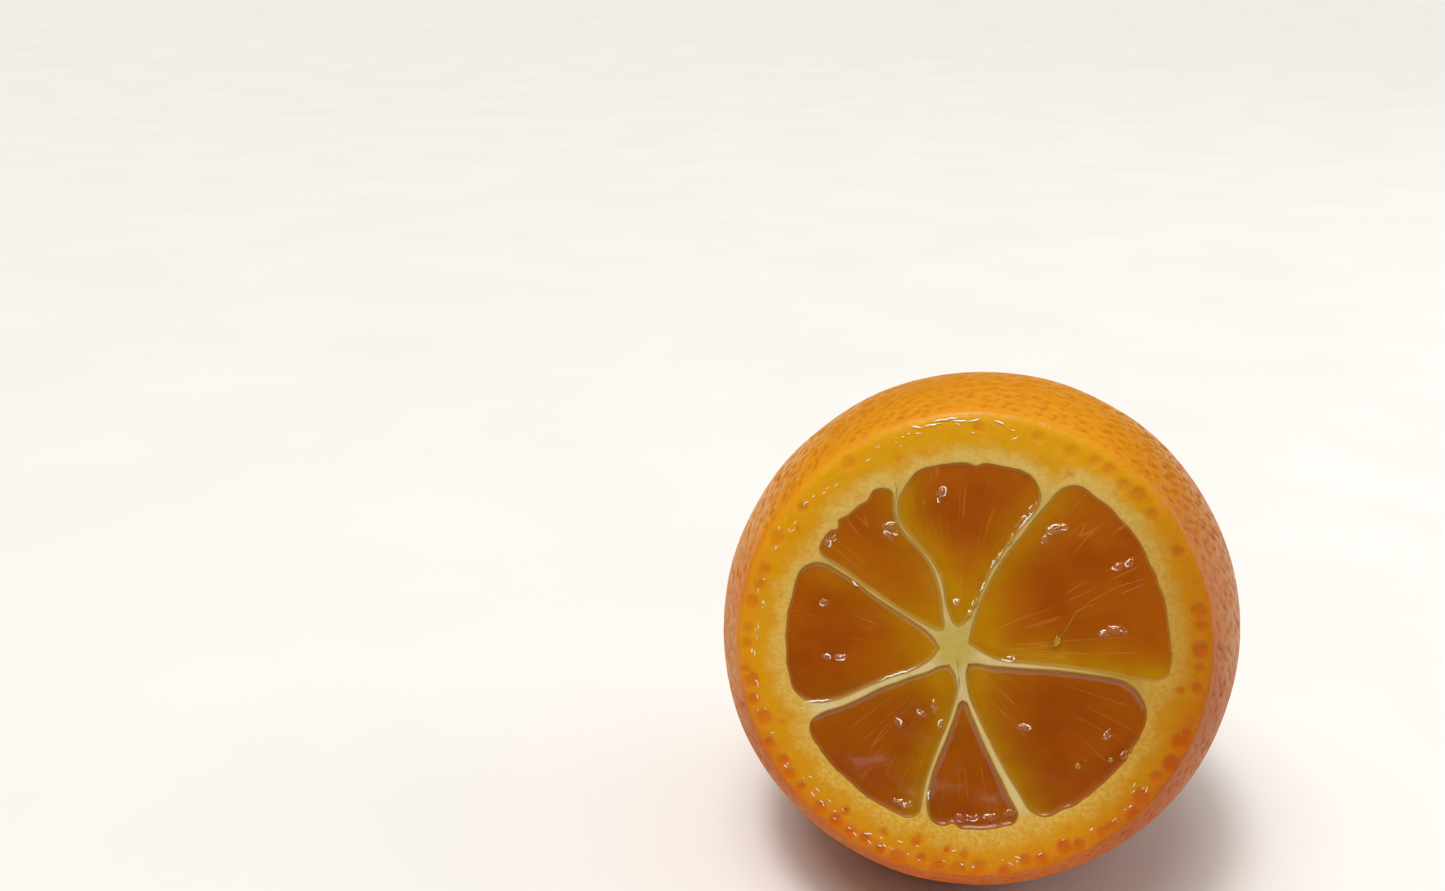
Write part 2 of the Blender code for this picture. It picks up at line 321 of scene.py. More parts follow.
@dataclass(frozen=True)
class SegmentPlan:
    """One juicy segment: its walls, how far it reaches, and how its wet surface lies.

    glow_clockwise and glow_anticlockwise say how much of each wall shines through the pulp.
    """

    name: str
    clockwise_wall: Septum
    anticlockwise_wall: Septum
    bulge: float
    sink: float
    glow_clockwise: float
    glow_anticlockwise: float
    notch_bearing: Optional[float] = None
    notch_depth: float = 0.2 * MM
    notch_half_angle: float = math.radians(1.5)
    scallop: float = 0.14 * MM
    corners: tuple[float, float] = (1.3 * MM, 1.3 * MM)
    tip: float = 1.5 * MM
    tip_width: float = 0.5 * MM

    def span(self, radius: float) -> tuple[float, float]:
        """The two walls' bearings at a radius, less than half a turn apart."""
        first = self.clockwise_wall.bearing(radius)
        return first, first + signed_turn(self.anticlockwise_wall.bearing(radius) - first)

    def tip_radius(self, clear: float) -> float:
        """Radius from the core's middle where the walls leave room for the tip.

        Args:
            clear: distance kept from both walls.

        Returns:
            Distance from the core's middle.
        """
        radius = self.tip
        while True:
            first, second = self.span(radius)
            walls = self.clockwise_wall.half(radius) + self.anticlockwise_wall.half(radius)
            if (second - first) * radius > walls + 2 * clear + self.tip_width:
                return radius
            radius += 0.02 * MM

    def reach_at(self, bearing: float, reach: float) -> float:
        """Radius of the outer edge from the core's middle, with the segment's notch.

        Args:
            bearing: bearing from the core's middle.
            reach: radius of the edge round the fruit's axis.

        Returns:
            Distance from the core's middle.
        """
        radius = rim_radius(bearing, reach)
        radius += noise.fractal((heading(bearing) * 7.0).to_3d(), 1.0, 2.0, 2) * self.scallop
        if self.notch_bearing is not None:
            off = signed_turn(bearing - math.radians(self.notch_bearing))
            radius -= self.notch_depth * math.exp(-(off / self.notch_half_angle) ** 2)
        return radius

    def side(self, septum: Septum, sign: int, clear: float, corner: float, rim: float) -> list[Vector]:
        """Points along one wall, from the tip to halfway round the corner.

        Args:
            septum: the wall.
            sign: 1 for the wall's anticlockwise side and -1 for the other.
            clear: distance kept from the wall.
            corner: radius of the round corner.
            rim: where the outer edge lies, from the core's middle.

        Returns:
            The points, from the tip out.
        """
        tip = self.tip_radius(clear)
        points = []
        for step in range(21):
            radius = tip + (rim - corner - tip) * step / 20
            points.append(septum.point(radius, sign * (septum.half(radius) + clear)))
        for step in range(1, 5):
            points.append(self.corner_point(septum, sign, clear, corner, rim, math.pi / 4 * step / 4))
        return points

    def corner_point(
        self, septum: Septum, sign: int, clear: float, corner: float, rim: float, turn: float
    ) -> Vector:
        """Point on the round corner between a wall and the outer edge.

        Args:
            septum: the wall.
            sign: 1 for the wall's anticlockwise side and -1 for the other.
            clear: distance kept from the wall.
            corner: radius of the round corner.
            rim: where the outer edge lies, from the core's middle.
            turn: how far round the corner, up to a quarter turn.

        Returns:
            The point across the cut.
        """
        radius = rim - corner * (1 - math.sin(turn))
        swing = sign * (septum.half(radius) + clear + corner * (1 - math.cos(turn)))
        return FORM.core_middle + heading(septum.bearing(radius) + swing / radius) * radius

    def outline(self, reach: float, clear: float, sides: int, arcs: int) -> list[Vector]:
        """Closed outline, anticlockwise from the tip.

        Args:
            reach: radius of the outer edge round the fruit's axis.
            clear: distance kept from both walls.
            sides: steps along each wall.
            arcs: steps along the outer edge.

        Returns:
            2 * sides + arcs points.
        """
        corner_a, corner_b = (corner * reach / FORM.pulp_radius for corner in self.corners)
        wall_a, wall_b = self.clockwise_wall, self.anticlockwise_wall
        first, second = self.span(reach)
        arc_start = first + (wall_a.half(reach) + clear + corner_a) / reach
        arc_end = second - (wall_b.half(reach) + clear + corner_b) / reach
        rim_a = self.reach_at(arc_start, reach)
        rim_b = self.reach_at(arc_end, reach)
        side_a = self.side(wall_a, 1, clear, corner_a, rim_a)
        side_b = self.side(wall_b, -1, clear, corner_b, rim_b)
        nose = (side_a[0] + side_b[0]) / 2
        nose += (FORM.core_middle - nose).normalized() * (side_a[0] - side_b[0]).length / 3
        turns = [math.pi / 4 * (1 + step / 4) for step in range(1, 4)]
        arc = [side_a[-1]]
        arc += [self.corner_point(wall_a, 1, clear, corner_a, rim_a, turn) for turn in turns]
        for step in range(61):
            bearing = arc_start + (arc_end - arc_start) * step / 60
            arc.append(FORM.core_middle + heading(bearing) * self.reach_at(bearing, reach))
        arc += [self.corner_point(wall_b, -1, clear, corner_b, rim_b, turn) for turn in turns[::-1]]
        arc.append(side_b[-1])
        up = resample([nose] + side_a, sides)
        over = resample(arc, arcs)
        back = resample([nose] + side_b, sides)
        return up[:-1] + over[:-1] + back[:0:-1]

    def cell(self, reach: float, sides: int, arcs: int) -> list[Vector]:
        """Closed outline along the middle of both walls and a circle, matching outline's points.

        Args:
            reach: radius of the circle.
            sides: steps along each wall.
            arcs: steps along the circle.

        Returns:
            2 * sides + arcs points.
        """
        up = self.clockwise_wall.middle_line(reach, sides)
        back = self.anticlockwise_wall.middle_line(reach, sides)
        start = math.atan2(up[-1].y, up[-1].x)
        end = start + signed_turn(math.atan2(back[-1].y, back[-1].x) - start)
        over = [heading(start + (end - start) * step / arcs) * reach for step in range(arcs + 1)]
        return up[:-1] + over[:-1] + back[:0:-1]


WALL_TOP_LEFT = Septum(110.8, 114.1, 0.6, -4.4, 0.13 * MM, 0.11 * MM, 0.6, 0.3)
WALL_TOP_RIGHT = Septum(66.9, 63.2, 2.8, 1.0, 0.10 * MM, 0.16 * MM, 0.35, 0.3)
WALL_RIGHT = Septum(-16.5, -4.8, 4.9, 0.7, 0.19 * MM, 0.09 * MM, 1.0, 0.15)
WALL_LOWER_RIGHT = Septum(-75.5, -63.8, 2.0, 0.3, 0.12 * MM, 0.30 * MM, 0.8, 0.9)
WALL_LOWER_LEFT = Septum(-79.5, -96.9, -7.0, -0.1, 0.12 * MM, 0.17 * MM, 0.8, 0.6)
WALL_LEFT = Septum(-140.8, -153.9, -1.6, -2.2, 0.18 * MM, 0.27 * MM, 0.9, 1.0)
WALL_UPPER_LEFT = Septum(150.2, 151.6, 0.2, 0.8, 0.09 * MM, 0.10 * MM, 0.5, 0.3)
SEPTA = (
    WALL_TOP_LEFT, WALL_TOP_RIGHT, WALL_RIGHT, WALL_LOWER_RIGHT, WALL_LOWER_LEFT, WALL_LEFT, WALL_UPPER_LEFT
)

SEGMENTS = (
    SegmentPlan(
        name="segment_top", clockwise_wall=WALL_TOP_RIGHT, anticlockwise_wall=WALL_TOP_LEFT,
        bulge=-0.1 * MM, sink=0.06 * MM, glow_clockwise=0.5, glow_anticlockwise=0.9,
        corners=(1.9 * MM, 2.1 * MM), notch_bearing=88, scallop=0.05 * MM,
    ),
    SegmentPlan(
        name="segment_upper_right", clockwise_wall=WALL_RIGHT, anticlockwise_wall=WALL_TOP_RIGHT,
        bulge=0.6 * MM, sink=0.05 * MM, glow_clockwise=1.0, glow_anticlockwise=0.7,
        corners=(0.9 * MM, 1.4 * MM),
    ),
    SegmentPlan(
        name="segment_lower_right", clockwise_wall=WALL_LOWER_RIGHT, anticlockwise_wall=WALL_RIGHT,
        bulge=0.15 * MM, sink=0.15 * MM, glow_clockwise=1.0, glow_anticlockwise=0.1,
        corners=(1.2 * MM, 2.4 * MM),
    ),
    SegmentPlan(
        name="segment_bottom", clockwise_wall=WALL_LOWER_LEFT, anticlockwise_wall=WALL_LOWER_RIGHT,
        bulge=0.0, sink=0.14 * MM, glow_clockwise=0.1, glow_anticlockwise=0.1,
        corners=(0.9 * MM, 0.7 * MM), notch_bearing=-87,
    ),
    SegmentPlan(
        name="segment_lower_left", clockwise_wall=WALL_LEFT, anticlockwise_wall=WALL_LOWER_LEFT,
        bulge=0.1 * MM, sink=0.1 * MM, glow_clockwise=0.3, glow_anticlockwise=0.9,
        corners=(1.9 * MM, 0.9 * MM),
    ),
    SegmentPlan(
        name="segment_left", clockwise_wall=WALL_UPPER_LEFT, anticlockwise_wall=WALL_LEFT,
        bulge=0.0, sink=0.1 * MM, glow_clockwise=0.4, glow_anticlockwise=0.3,
        corners=(1.4 * MM, 1.1 * MM),
    ),
    SegmentPlan(
        name="segment_upper_left", clockwise_wall=WALL_TOP_LEFT, anticlockwise_wall=WALL_UPPER_LEFT,
        bulge=-0.38 * MM, sink=0.06 * MM, glow_clockwise=0.5, glow_anticlockwise=0.4,
        corners=(1.2 * MM, 0.9 * MM), notch_bearing=139, notch_depth=0.35 * MM, scallop=0.25 * MM,
    ),
)


# Drops: place across the cut, half length and half width in millimetres, and bearing in degrees
DROPS = (
    (-2.08, 8.68, 0.26, 0.20, 60), (-2.16, 8.28, 0.20, 0.12, 80), (-4.92, 6.42, 0.38, 0.22, 10),
    (-5.0, 5.95, 0.26, 0.18, 150), (-4.55, 6.15, 0.16, 0.12, 30), (-8.19, 5.51, 0.22, 0.14, 40),
    (-8.46, 5.2, 0.20, 0.14, 120), (-8.46, 1.67, 0.26, 0.14, 20), (-7.3, -1.46, 0.34, 0.13, 5),
    (-8.13, -1.42, 0.26, 0.12, -20), (4.39, 7.01, 0.42, 0.20, 25), (3.88, 6.4, 0.22, 0.16, 60),
    (4.86, 7.22, 0.26, 0.15, 0), (8.61, 5.5, 0.24, 0.14, 50), (7.98, 5.22, 0.30, 0.14, 20),
    (8.07, 1.66, 0.40, 0.16, 10), (7.49, 1.38, 0.26, 0.15, 20), (8.55, 1.72, 0.18, 0.12, 0),
    (3.46, -4.35, 0.34, 0.14, 170), (8.11, -4.29, 0.30, 0.15, 60), (9.12, -5.38, 0.26, 0.20, 60),
    (9.54, -5.1, 0.24, 0.16, 30), (-1.63, -3.68, 0.34, 0.13, 100), (-2.35, -4.11, 0.26, 0.13, 160),
    (-1.22, -4.68, 0.22, 0.12, 70), (-3.69, -4.83, 0.24, 0.12, 150), (-0.8, 2.43, 0.16, 0.14, 0),
    (-3.35, -9.55, 0.30, 0.18, 0), (-2.75, -9.62, 0.24, 0.16, 30), (0.26, -10.0, 0.30, 0.20, 160),
    (0.93, -9.95, 0.34, 0.16, 10), (1.94, -9.8, 0.36, 0.16, 10), (3.0, -9.4, 0.28, 0.16, 30),
    (1.30, 5.1, 0.34, 0.15, 58), (1.95, 6.2, 0.38, 0.17, 62), (2.55, 7.3, 0.40, 0.16, 60),
    (3.15, 8.15, 0.36, 0.16, 58), (-0.05, 1.75, 0.22, 0.18, 80), (0.25, 2.45, 0.26, 0.14, 70),
    (2.41, -0.49, 0.22, 0.12, 0),
)


# Painted highlight lines along walls: the wall, its side, and the radii from the core in millimetres between
# which they run
PAINTED_WALL_GLINTS = (
    (WALL_TOP_RIGHT, 1, 5.0, 6.3), (WALL_TOP_RIGHT, 1, 6.6, 7.3), (WALL_TOP_RIGHT, 1, 7.7, 9.0),
    (WALL_TOP_RIGHT, 1, 3.6, 4.2), (WALL_LEFT, -1, 2.5, 4.9), (WALL_LEFT, -1, 7.9, 9.4),
    (WALL_RIGHT, 1, 2.6, 3.3), (WALL_LOWER_LEFT, 1, 8.4, 9.0), (WALL_UPPER_LEFT, 1, 6.6, 7.1),
)


class Ring:
    """Closed loop of points that grows a surface as it is extruded."""

    def __init__(self, bm: bmesh.types.BMesh, points: list[Vector]) -> None:
        """Start from loose points joined in a loop.

        Args:
            bm: the mesh that it joins.
            points: the loop's points in order.
        """
        self.bm = bm
        self.verts = [bm.verts.new(point) for point in points]
        for before, after in zip(self.verts, self.verts[1:] + self.verts[:1]):
            bm.edges.new((before, after))
        self.edges = self._edges()

    def _edges(self) -> list[bmesh.types.BMEdge]:
        """Edges round the loop."""
        pairs = zip(self.verts, self.verts[1:] + self.verts[:1])
        return [self.bm.edges.get(pair) for pair in pairs]

    def grow(self, points: list[Vector]) -> "Ring":
        """Extrude the loop to new points, one for each of its own.

        Args:
            points: the new places, in the loop's order.

        Returns:
            The new loop, which is this ring moved on.
        """
        made = bmesh.ops.extrude_edge_only(self.bm, edges=self.edges)
        fresh = {item for item in made["geom"] if isinstance(item, bmesh.types.BMVert)}
        follow = []
        for vert, point in zip(self.verts, points):
            grown = next(edge.other_vert(vert) for edge in vert.link_edges if edge.other_vert(vert) in fresh)
            grown.co = point
            follow.append(grown)
        ring = Ring.__new__(Ring)
        ring.bm = self.bm
        ring.verts = follow
        ring.edges = ring._edges()
        return ring

    def close(self, point: Vector) -> None:
        """Draw the loop together at one point."""
        self.grow([point] * len(self.verts))

    def tag(self, layer: object, value: int) -> "Ring":
        """Set an integer layer on the loop's points.

        Args:
            layer: the layer.
            value: the value that each point gets.

        Returns:
            The same loop.
        """
        for vert in self.verts:
            vert[layer] = value
        return self


def face_outward(bm: bmesh.types.BMesh) -> None:
    """Turn every face outward, also where the operator alone takes the inside for the outside.

    Args:
        bm: a closed mesh.
    """
    bmesh.ops.recalc_face_normals(bm, faces=bm.faces[:])
    if bm.calc_volume(signed=True) < 0:
        bmesh.ops.reverse_faces(bm, faces=bm.faces[:])


def finish_piece(
    name: str, bm: bmesh.types.BMesh, place: Matrix, slot: Slot, *nodes: str
) -> bpy.types.Object:
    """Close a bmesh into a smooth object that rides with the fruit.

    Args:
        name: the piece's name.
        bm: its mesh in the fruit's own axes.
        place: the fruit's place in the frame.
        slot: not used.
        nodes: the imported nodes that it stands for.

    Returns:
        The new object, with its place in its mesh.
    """
    bmesh.ops.remove_doubles(bm, verts=bm.verts[:], dist=MERGE_DISTANCE)
    bmesh.ops.transform(bm, matrix=place, verts=bm.verts[:])
    face_outward(bm)
    mesh = bpy.data.meshes.new(name)
    bm.to_mesh(mesh)
    bm.free()
    mesh.shade_smooth()
    piece = bpy.data.objects.new(name, mesh)
    bpy.context.scene.collection.objects.link(piece)
    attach(piece, BODY)
    if nodes:
        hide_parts(*nodes)
    LOG.info("%s: %d faces", name, len(mesh.polygons))
    return piece


def field_of_points(points: list[Vector]) -> KDTree:
    """Search tree over points.

    Args:
        points: the points to search.

    Returns:
        The balanced tree.
    """
    tree = KDTree(len(points))
    for index, point in enumerate(points):
        tree.insert(point, index)
    tree.balance()
    return tree


@dataclass
class Rind:
    """The peel as grown: skin, zest, pith, walls and core, in one closed mesh."""

    columns: int = 420
    skin_rows: int = 160
    band_start: float = 11.9 * MM
    band_rows: int = 9
    rim_rows: int = 5
    sides: int = 40
    strip_rows: int = 6
    wall_rows: int = 6
    rim_round: float = 0.45 * MM
    rim_round_change: float = 0.25 * MM
    rim_soft_bearing: float = math.radians(125)
    edge_drop: float = 0.02 * MM
    edge_width: float = 0.08 * MM
    pit_spacing: float = 0.78 * MM
    pit_depth: float = 0.15 * MM
    pit_radius: float = 0.33 * MM
    gland_spacing: float = 1.15 * MM
    gland_radius: float = 0.50 * MM
    gland_depth: float = 0.09 * MM
    seed: int = 11

    def build(self, place: Matrix) -> bpy.types.Object:
        """Model the whole rind.

        Args:
            place: the fruit's place in the frame.

        Returns:
            The finished piece.
        """
        bm = bmesh.new()
        zone = bm.verts.layers.int.new("zone")
        arcs = self.arc_steps()
        circle = []
        for plan, count in zip(SEGMENTS_IN_ORDER, arcs):
            circle += self.build_cell(bm, zone, plan, count)
        self.build_outside(bm, zone, circle)
        bmesh.ops.remove_doubles(bm, verts=bm.verts[:], dist=MERGE_DISTANCE)
        face_outward(bm)
        bm.normal_update()
        self.add_relief(bm, zone)
        return finish_piece("rind", bm, place, Slot.PEEL, "peel")

    def arc_steps(self) -> list[int]:
        """Steps of each segment's arc, so that all together make about the wanted columns.

        Returns:
            The steps of each segment in SEGMENTS_IN_ORDER.
        """
        steps = []
        for plan in SEGMENTS_IN_ORDER:
            first, second = plan.span(self.band_start)
            steps.append(round((second - first) / (2 * math.pi) * self.columns))
        return steps

    def build_cell(self, bm: bmesh.types.BMesh, zone: object, plan: SegmentPlan, arcs: int) -> list[Vector]:
        """One segment's pocket and the strip round it, out to the middle of its walls.

        Args:
            bm: the rind's mesh.
            zone: the layer that says where a point lies.
            plan: the segment.
            arcs: steps along its arc.

        Returns:
            The strip's points on the circle where the zest band starts, without the last.
        """
        reach = FORM.pulp_radius + plan.bulge
        inner = plan.outline(reach, 0.0, self.sides, arcs)
        outer = plan.cell(self.band_start, self.sides, arcs)
        cut = FORM.cut_ahead
        start = Ring(bm, [point.to_3d() + Vector((0, 0, cut - self.edge_drop)) for point in inner])
        start.tag(zone, Zone.FACE.value)
        ring = start
        for row in range(1, self.strip_rows + 1):
            share = (row / self.strip_rows) ** 1.6
            points = []
            for a, b in zip(inner, outer):
                away = (b - a).length * share
                drop = self.edge_drop * math.exp(-(away / self.edge_width) ** 2) * (1 - share)
                points.append(a.lerp(b, share).to_3d() + Vector((0, 0, cut - drop)))
            ring = ring.grow(points).tag(zone, Zone.FACE.value)
        ring = start
        for along in FORM.pulp_stations(self.wall_rows):
            tip = plan.tip_radius(0.0)
            reach = max(FORM.pulp_reach(along) + plan.bulge, tip + 1.2 * MM)
            outline = plan.outline(reach, 0.0, self.sides, arcs)
            points = [point.to_3d() + Vector((0, 0, along)) for point in outline]
            ring = ring.grow(points).tag(zone, Zone.WALL.value)
        middle = sum((vert.co for vert in ring.verts), Vector()) / len(ring.verts)
        ring.close(middle)
        return outer[self.sides:self.sides + arcs]

    def edge_round(self, bearing: float) -> float:
        """How far the cut edge is rounded at a bearing: softest at the upper left."""
        return self.rim_round + self.rim_round_change * math.cos(bearing - self.rim_soft_bearing)

    def build_outside(self, bm: bmesh.types.BMesh, zone: object, circle: list[Vector]) -> None:
        """The zest band, the rounded edge and the skin back to the stem end.

        Args:
            bm: the rind's mesh.
            zone: the layer that says where a point lies.
            circle: the points where the zest band starts, in order.
        """
        bearings = [math.atan2(point.y, point.x) for point in circle]
        cut = FORM.cut_ahead
        start_latitude = math.asin(cut / FORM.half_length)
        meridian = self.meridian(start_latitude)
        length = meridian[-1][0]
        ring = Ring(bm, [point.to_3d() + Vector((0, 0, cut)) for point in circle]).tag(zone, Zone.FACE.value)
        edges = [FORM.cut_radius * FORM.girth(bearing) for bearing in bearings]
        for row in range(1, self.band_rows + 1):
            points = []
            for bearing, edge in zip(bearings, edges):
                end = edge - self.edge_round(bearing)
                radius = self.band_start + (end - self.band_start) * row / self.band_rows
                points.append((heading(bearing) * radius).to_3d() + Vector((0, 0, cut)))
            ring = ring.grow(points).tag(zone, Zone.FACE.value)
        for row in range(1, self.rim_rows):
            share = row / self.rim_rows
            points = []
            for bearing, edge in zip(bearings, edges):
                soft = self.edge_round(bearing)
                flat = (heading(bearing) * (edge - soft)).to_3d() + Vector((0, 0, cut))
                corner = (heading(bearing) * edge).to_3d() + Vector((0, 0, cut))
                back = FORM.skin_point(bearing, self.latitude_at(meridian, soft))
                points.append(flat.lerp(corner, share).lerp(corner.lerp(back, share), share))
            kind = Zone.FACE if share < 0.5 else Zone.SKIN
            ring = ring.grow(points).tag(zone, kind.value)
        for row in range(self.skin_rows):
            points = []
            for bearing in bearings:
                soft = self.edge_round(bearing)
                distance = soft + (length - soft) * row / self.skin_rows
                points.append(FORM.skin_point(bearing, self.latitude_at(meridian, distance)))
            ring = ring.grow(points).tag(zone, Zone.SKIN.value)
        ring.close(FORM.skin_point(0, -math.pi / 2))

    def meridian(self, start: float) -> list[tuple[float, float]]:
        """Distance along the skin from the cut edge, with the latitude reached.

        Args:
            start: latitude of the cut edge.

        Returns:
            Pairs of distance and latitude.
        """
        steps = 600
        table = [(0.0, start)]
        for step in range(1, steps + 1):
            latitude = start + (-math.pi / 2 - start) * step / steps
            before = table[-1]
            stretch = math.hypot(
                FORM.belly_radius * (math.cos(latitude) - math.cos(before[1])),
                FORM.half_length * (math.sin(latitude) - math.sin(before[1])),
            )
            table.append((before[0] + stretch, latitude))
        return table

    def latitude_at(self, table: list[tuple[float, float]], distance: float) -> float:
        """Latitude at a distance along the skin, read from the meridian's table.

        Args:
            table: the meridian's table.
            distance: distance along the skin from the cut edge.

        Returns:
            The latitude there.
        """
        low = 0
        high = len(table) - 1
        while high - low > 1:
            middle = (low + high) // 2
            if table[middle][0] <= distance:
                low = middle
            else:
                high = middle
        share = (distance - table[low][0]) / (table[high][0] - table[low][0])
        return table[low][1] + (table[high][1] - table[low][1]) * share

    def pits(self) -> tuple[KDTree, list[float], list[float]]:
        """Oil pits spread evenly over the whole ovoid, each jogged off its place.

        Returns:
            The search tree, and each pit's depth and radius.
        """
        draw = random.Random(self.seed)
        area = 4 * math.pi * FORM.belly_radius * (0.35 * FORM.belly_radius + 0.65 * FORM.half_length)
        count = round(area / (self.pit_spacing ** 2 * 0.87))
        golden = math.pi * (3 - math.sqrt(5))
        points = []
        depths = []
        radii = []
        for index in range(count):
            latitude = math.asin(1 - 2 * (index + 0.5) / count)
            bearing = index * golden
            latitude += draw.gauss(0, 0.16) * self.pit_spacing / FORM.half_length
            round_here = FORM.belly_radius * max(math.cos(latitude), 0.05)
            bearing += draw.gauss(0, 0.2) * self.pit_spacing / round_here
            latitude = min(max(latitude, -math.pi / 2), math.pi / 2)
            points.append(FORM.skin_point(bearing, latitude))
            depths.append(self.pit_depth * draw.uniform(0.45, 1.2))
            radii.append(self.pit_radius * draw.uniform(0.75, 1.15))
        return field_of_points(points), depths, radii

    def glands(self) -> tuple[KDTree, list[float], list[float]]:
        """Cut-open oil glands round the zest: a full row by the edge and strays inside it.

        Returns:
            The search tree, and each gland's radius and how deep its colour is.
        """
        draw = random.Random(self.seed + 1)
        points = []
        radii = []
        shades = []
        for depth, spacing, scale, kept in ((0.5, 1.0, 1.0, 0.92), (1.45, 1.3, 0.6, 0.35)):
            radius = FORM.cut_radius - depth * MM
            count = round(2 * math.pi * radius / (self.gland_spacing * spacing))
            for index in range(count):
                bearing = 2 * math.pi * (index + draw.uniform(-0.28, 0.28)) / count
                off = draw.gauss(0, 0.14) * MM
                size = self.gland_radius * scale * draw.uniform(0.62, 1.18)
                # Glands toward the top of the edge are fewer and lie further in; their paler colour there is
                # painted light.
                lit = smooth(-0.1, 0.8, math.cos(bearing - math.radians(105)))
                shade = draw.uniform(0.5, 1) * (1 - 0.6 * lit)
                if draw.random() < kept * (1 - 0.35 * lit):
                    place = heading(bearing) * (radius * FORM.girth(bearing) + off - 0.35 * MM * lit)
                    points.append(place.to_3d() + Vector((0, 0, FORM.cut_ahead)))
                    radii.append(size)
                    shades.append(shade)
        return field_of_points(points), radii, shades

    def add_relief(self, bm: bmesh.types.BMesh, zone: object) -> None:
        """Press in pits and glands, roughen the face, and write the masks that the colours use.

        Args:
            bm: the rind's mesh.
            zone: the layer that says where a point lies.
        """
        pits, pit_depths, pit_radii = self.pits()
        glands, gland_radii, gland_shades = self.glands()
        coordinates = bm.verts.layers.float_vector.new(COORDINATES)
        names = ("skin", "rim_mm", "wall", "pale", "gland", "pit", "pocket_mm")
        masks = {name: bm.verts.layers.float.new(name) for name in names}
        lines = []
        whiteness = []
        for septum in SEPTA:
            points = septum.middle_line(FORM.pulp_radius, 60)
            lines += [point.to_3d() for point in points]
            whiteness += [septum.pale(septum.radius_at(FORM.pulp_radius) * step / 60) for step in range(61)]
        walls = field_of_points(lines)
        pockets = []
        for plan in SEGMENTS:
            outline = plan.outline(FORM.pulp_radius + plan.bulge, 0.0, 120, 150)
            pockets += [point.to_3d() for point in outline]
        pockets = field_of_points(pockets)
        floor_level = max(vert.co.dot(FORM.down) for vert in bm.verts) - FORM.flat_depth
        moves = []
        for vert in bm.verts:
            spot = vert.co.copy()
            vert[coordinates] = spot / MM
            out = math.hypot(spot.x, spot.y)
            move = Vector()
            edge = FORM.cut_radius * FORM.girth(math.atan2(spot.y, spot.x)) - out
            kind = Zone(vert[zone])
            vert[masks["rim_mm"]] = max(edge, 0.0) / MM
            if kind is Zone.SKIN:
                vert[masks["skin"]] = 1.0
                _, index, distance = pits.find(spot)
                hollow = max(0.0, 1 - (distance / pit_radii[index]) ** 2) ** 2
                soft = smooth(0.0, 0.9 * MM, FORM.cut_ahead - spot.z)
                swell = noise.noise(spot / (4.5 * MM)) * 0.07 * MM
                crumbs = noise.fractal(spot / (0.6 * MM), 1.0, 2.0, 2) * 0.035 * MM * (1 - soft)
                move = vert.normal * (swell * soft + crumbs - hollow * pit_depths[index] * soft)
                vert[masks["pit"]] = hollow * soft * pit_depths[index] / self.pit_depth
            elif kind is Zone.FACE:
                flat = Vector((spot.x, spot.y, 0))
                inland = pockets.find(flat)[2]
                vert[masks["pocket_mm"]] = inland / MM
                _, nearest, away = walls.find(flat)
                vert[masks["wall"]] = smooth(10.6 * MM, 9.2 * MM, out) * smooth(0.9 * MM, 0.5 * MM, away)
                vert[masks["pale"]] = whiteness[nearest]
                _, index, distance = glands.find(Vector((spot.x, spot.y, FORM.cut_ahead)))
                size = gland_radii[index]
                cup = smooth(size, size * 0.45, distance)
                lip = smooth(size * 1.35, size, distance) * (1 - cup)
                rough = noise.fractal(spot / (0.5 * MM), 1.0, 2.0, 3) * 0.03 * MM
                rough *= smooth(0.0, 0.3 * MM, inland)
                move = Vector((0, 0, rough + face_swell(spot) - cup * self.gland_depth + lip * 0.02 * MM))
                vert[masks["gland"]] = smooth(size * 1.05, size * 0.6, distance) * gland_shades[index]
            moves.append(move)
        for vert, move in zip(bm.verts, moves):
            vert.co += move
            below = vert.co.dot(FORM.down) - floor_level
            if below > 0:
                vert.co -= FORM.down * below


SEGMENTS_IN_ORDER = tuple(
    sorted(SEGMENTS, key=lambda plan: plan.clockwise_wall.bearing(11.9 * MM) % (2 * math.pi))
)


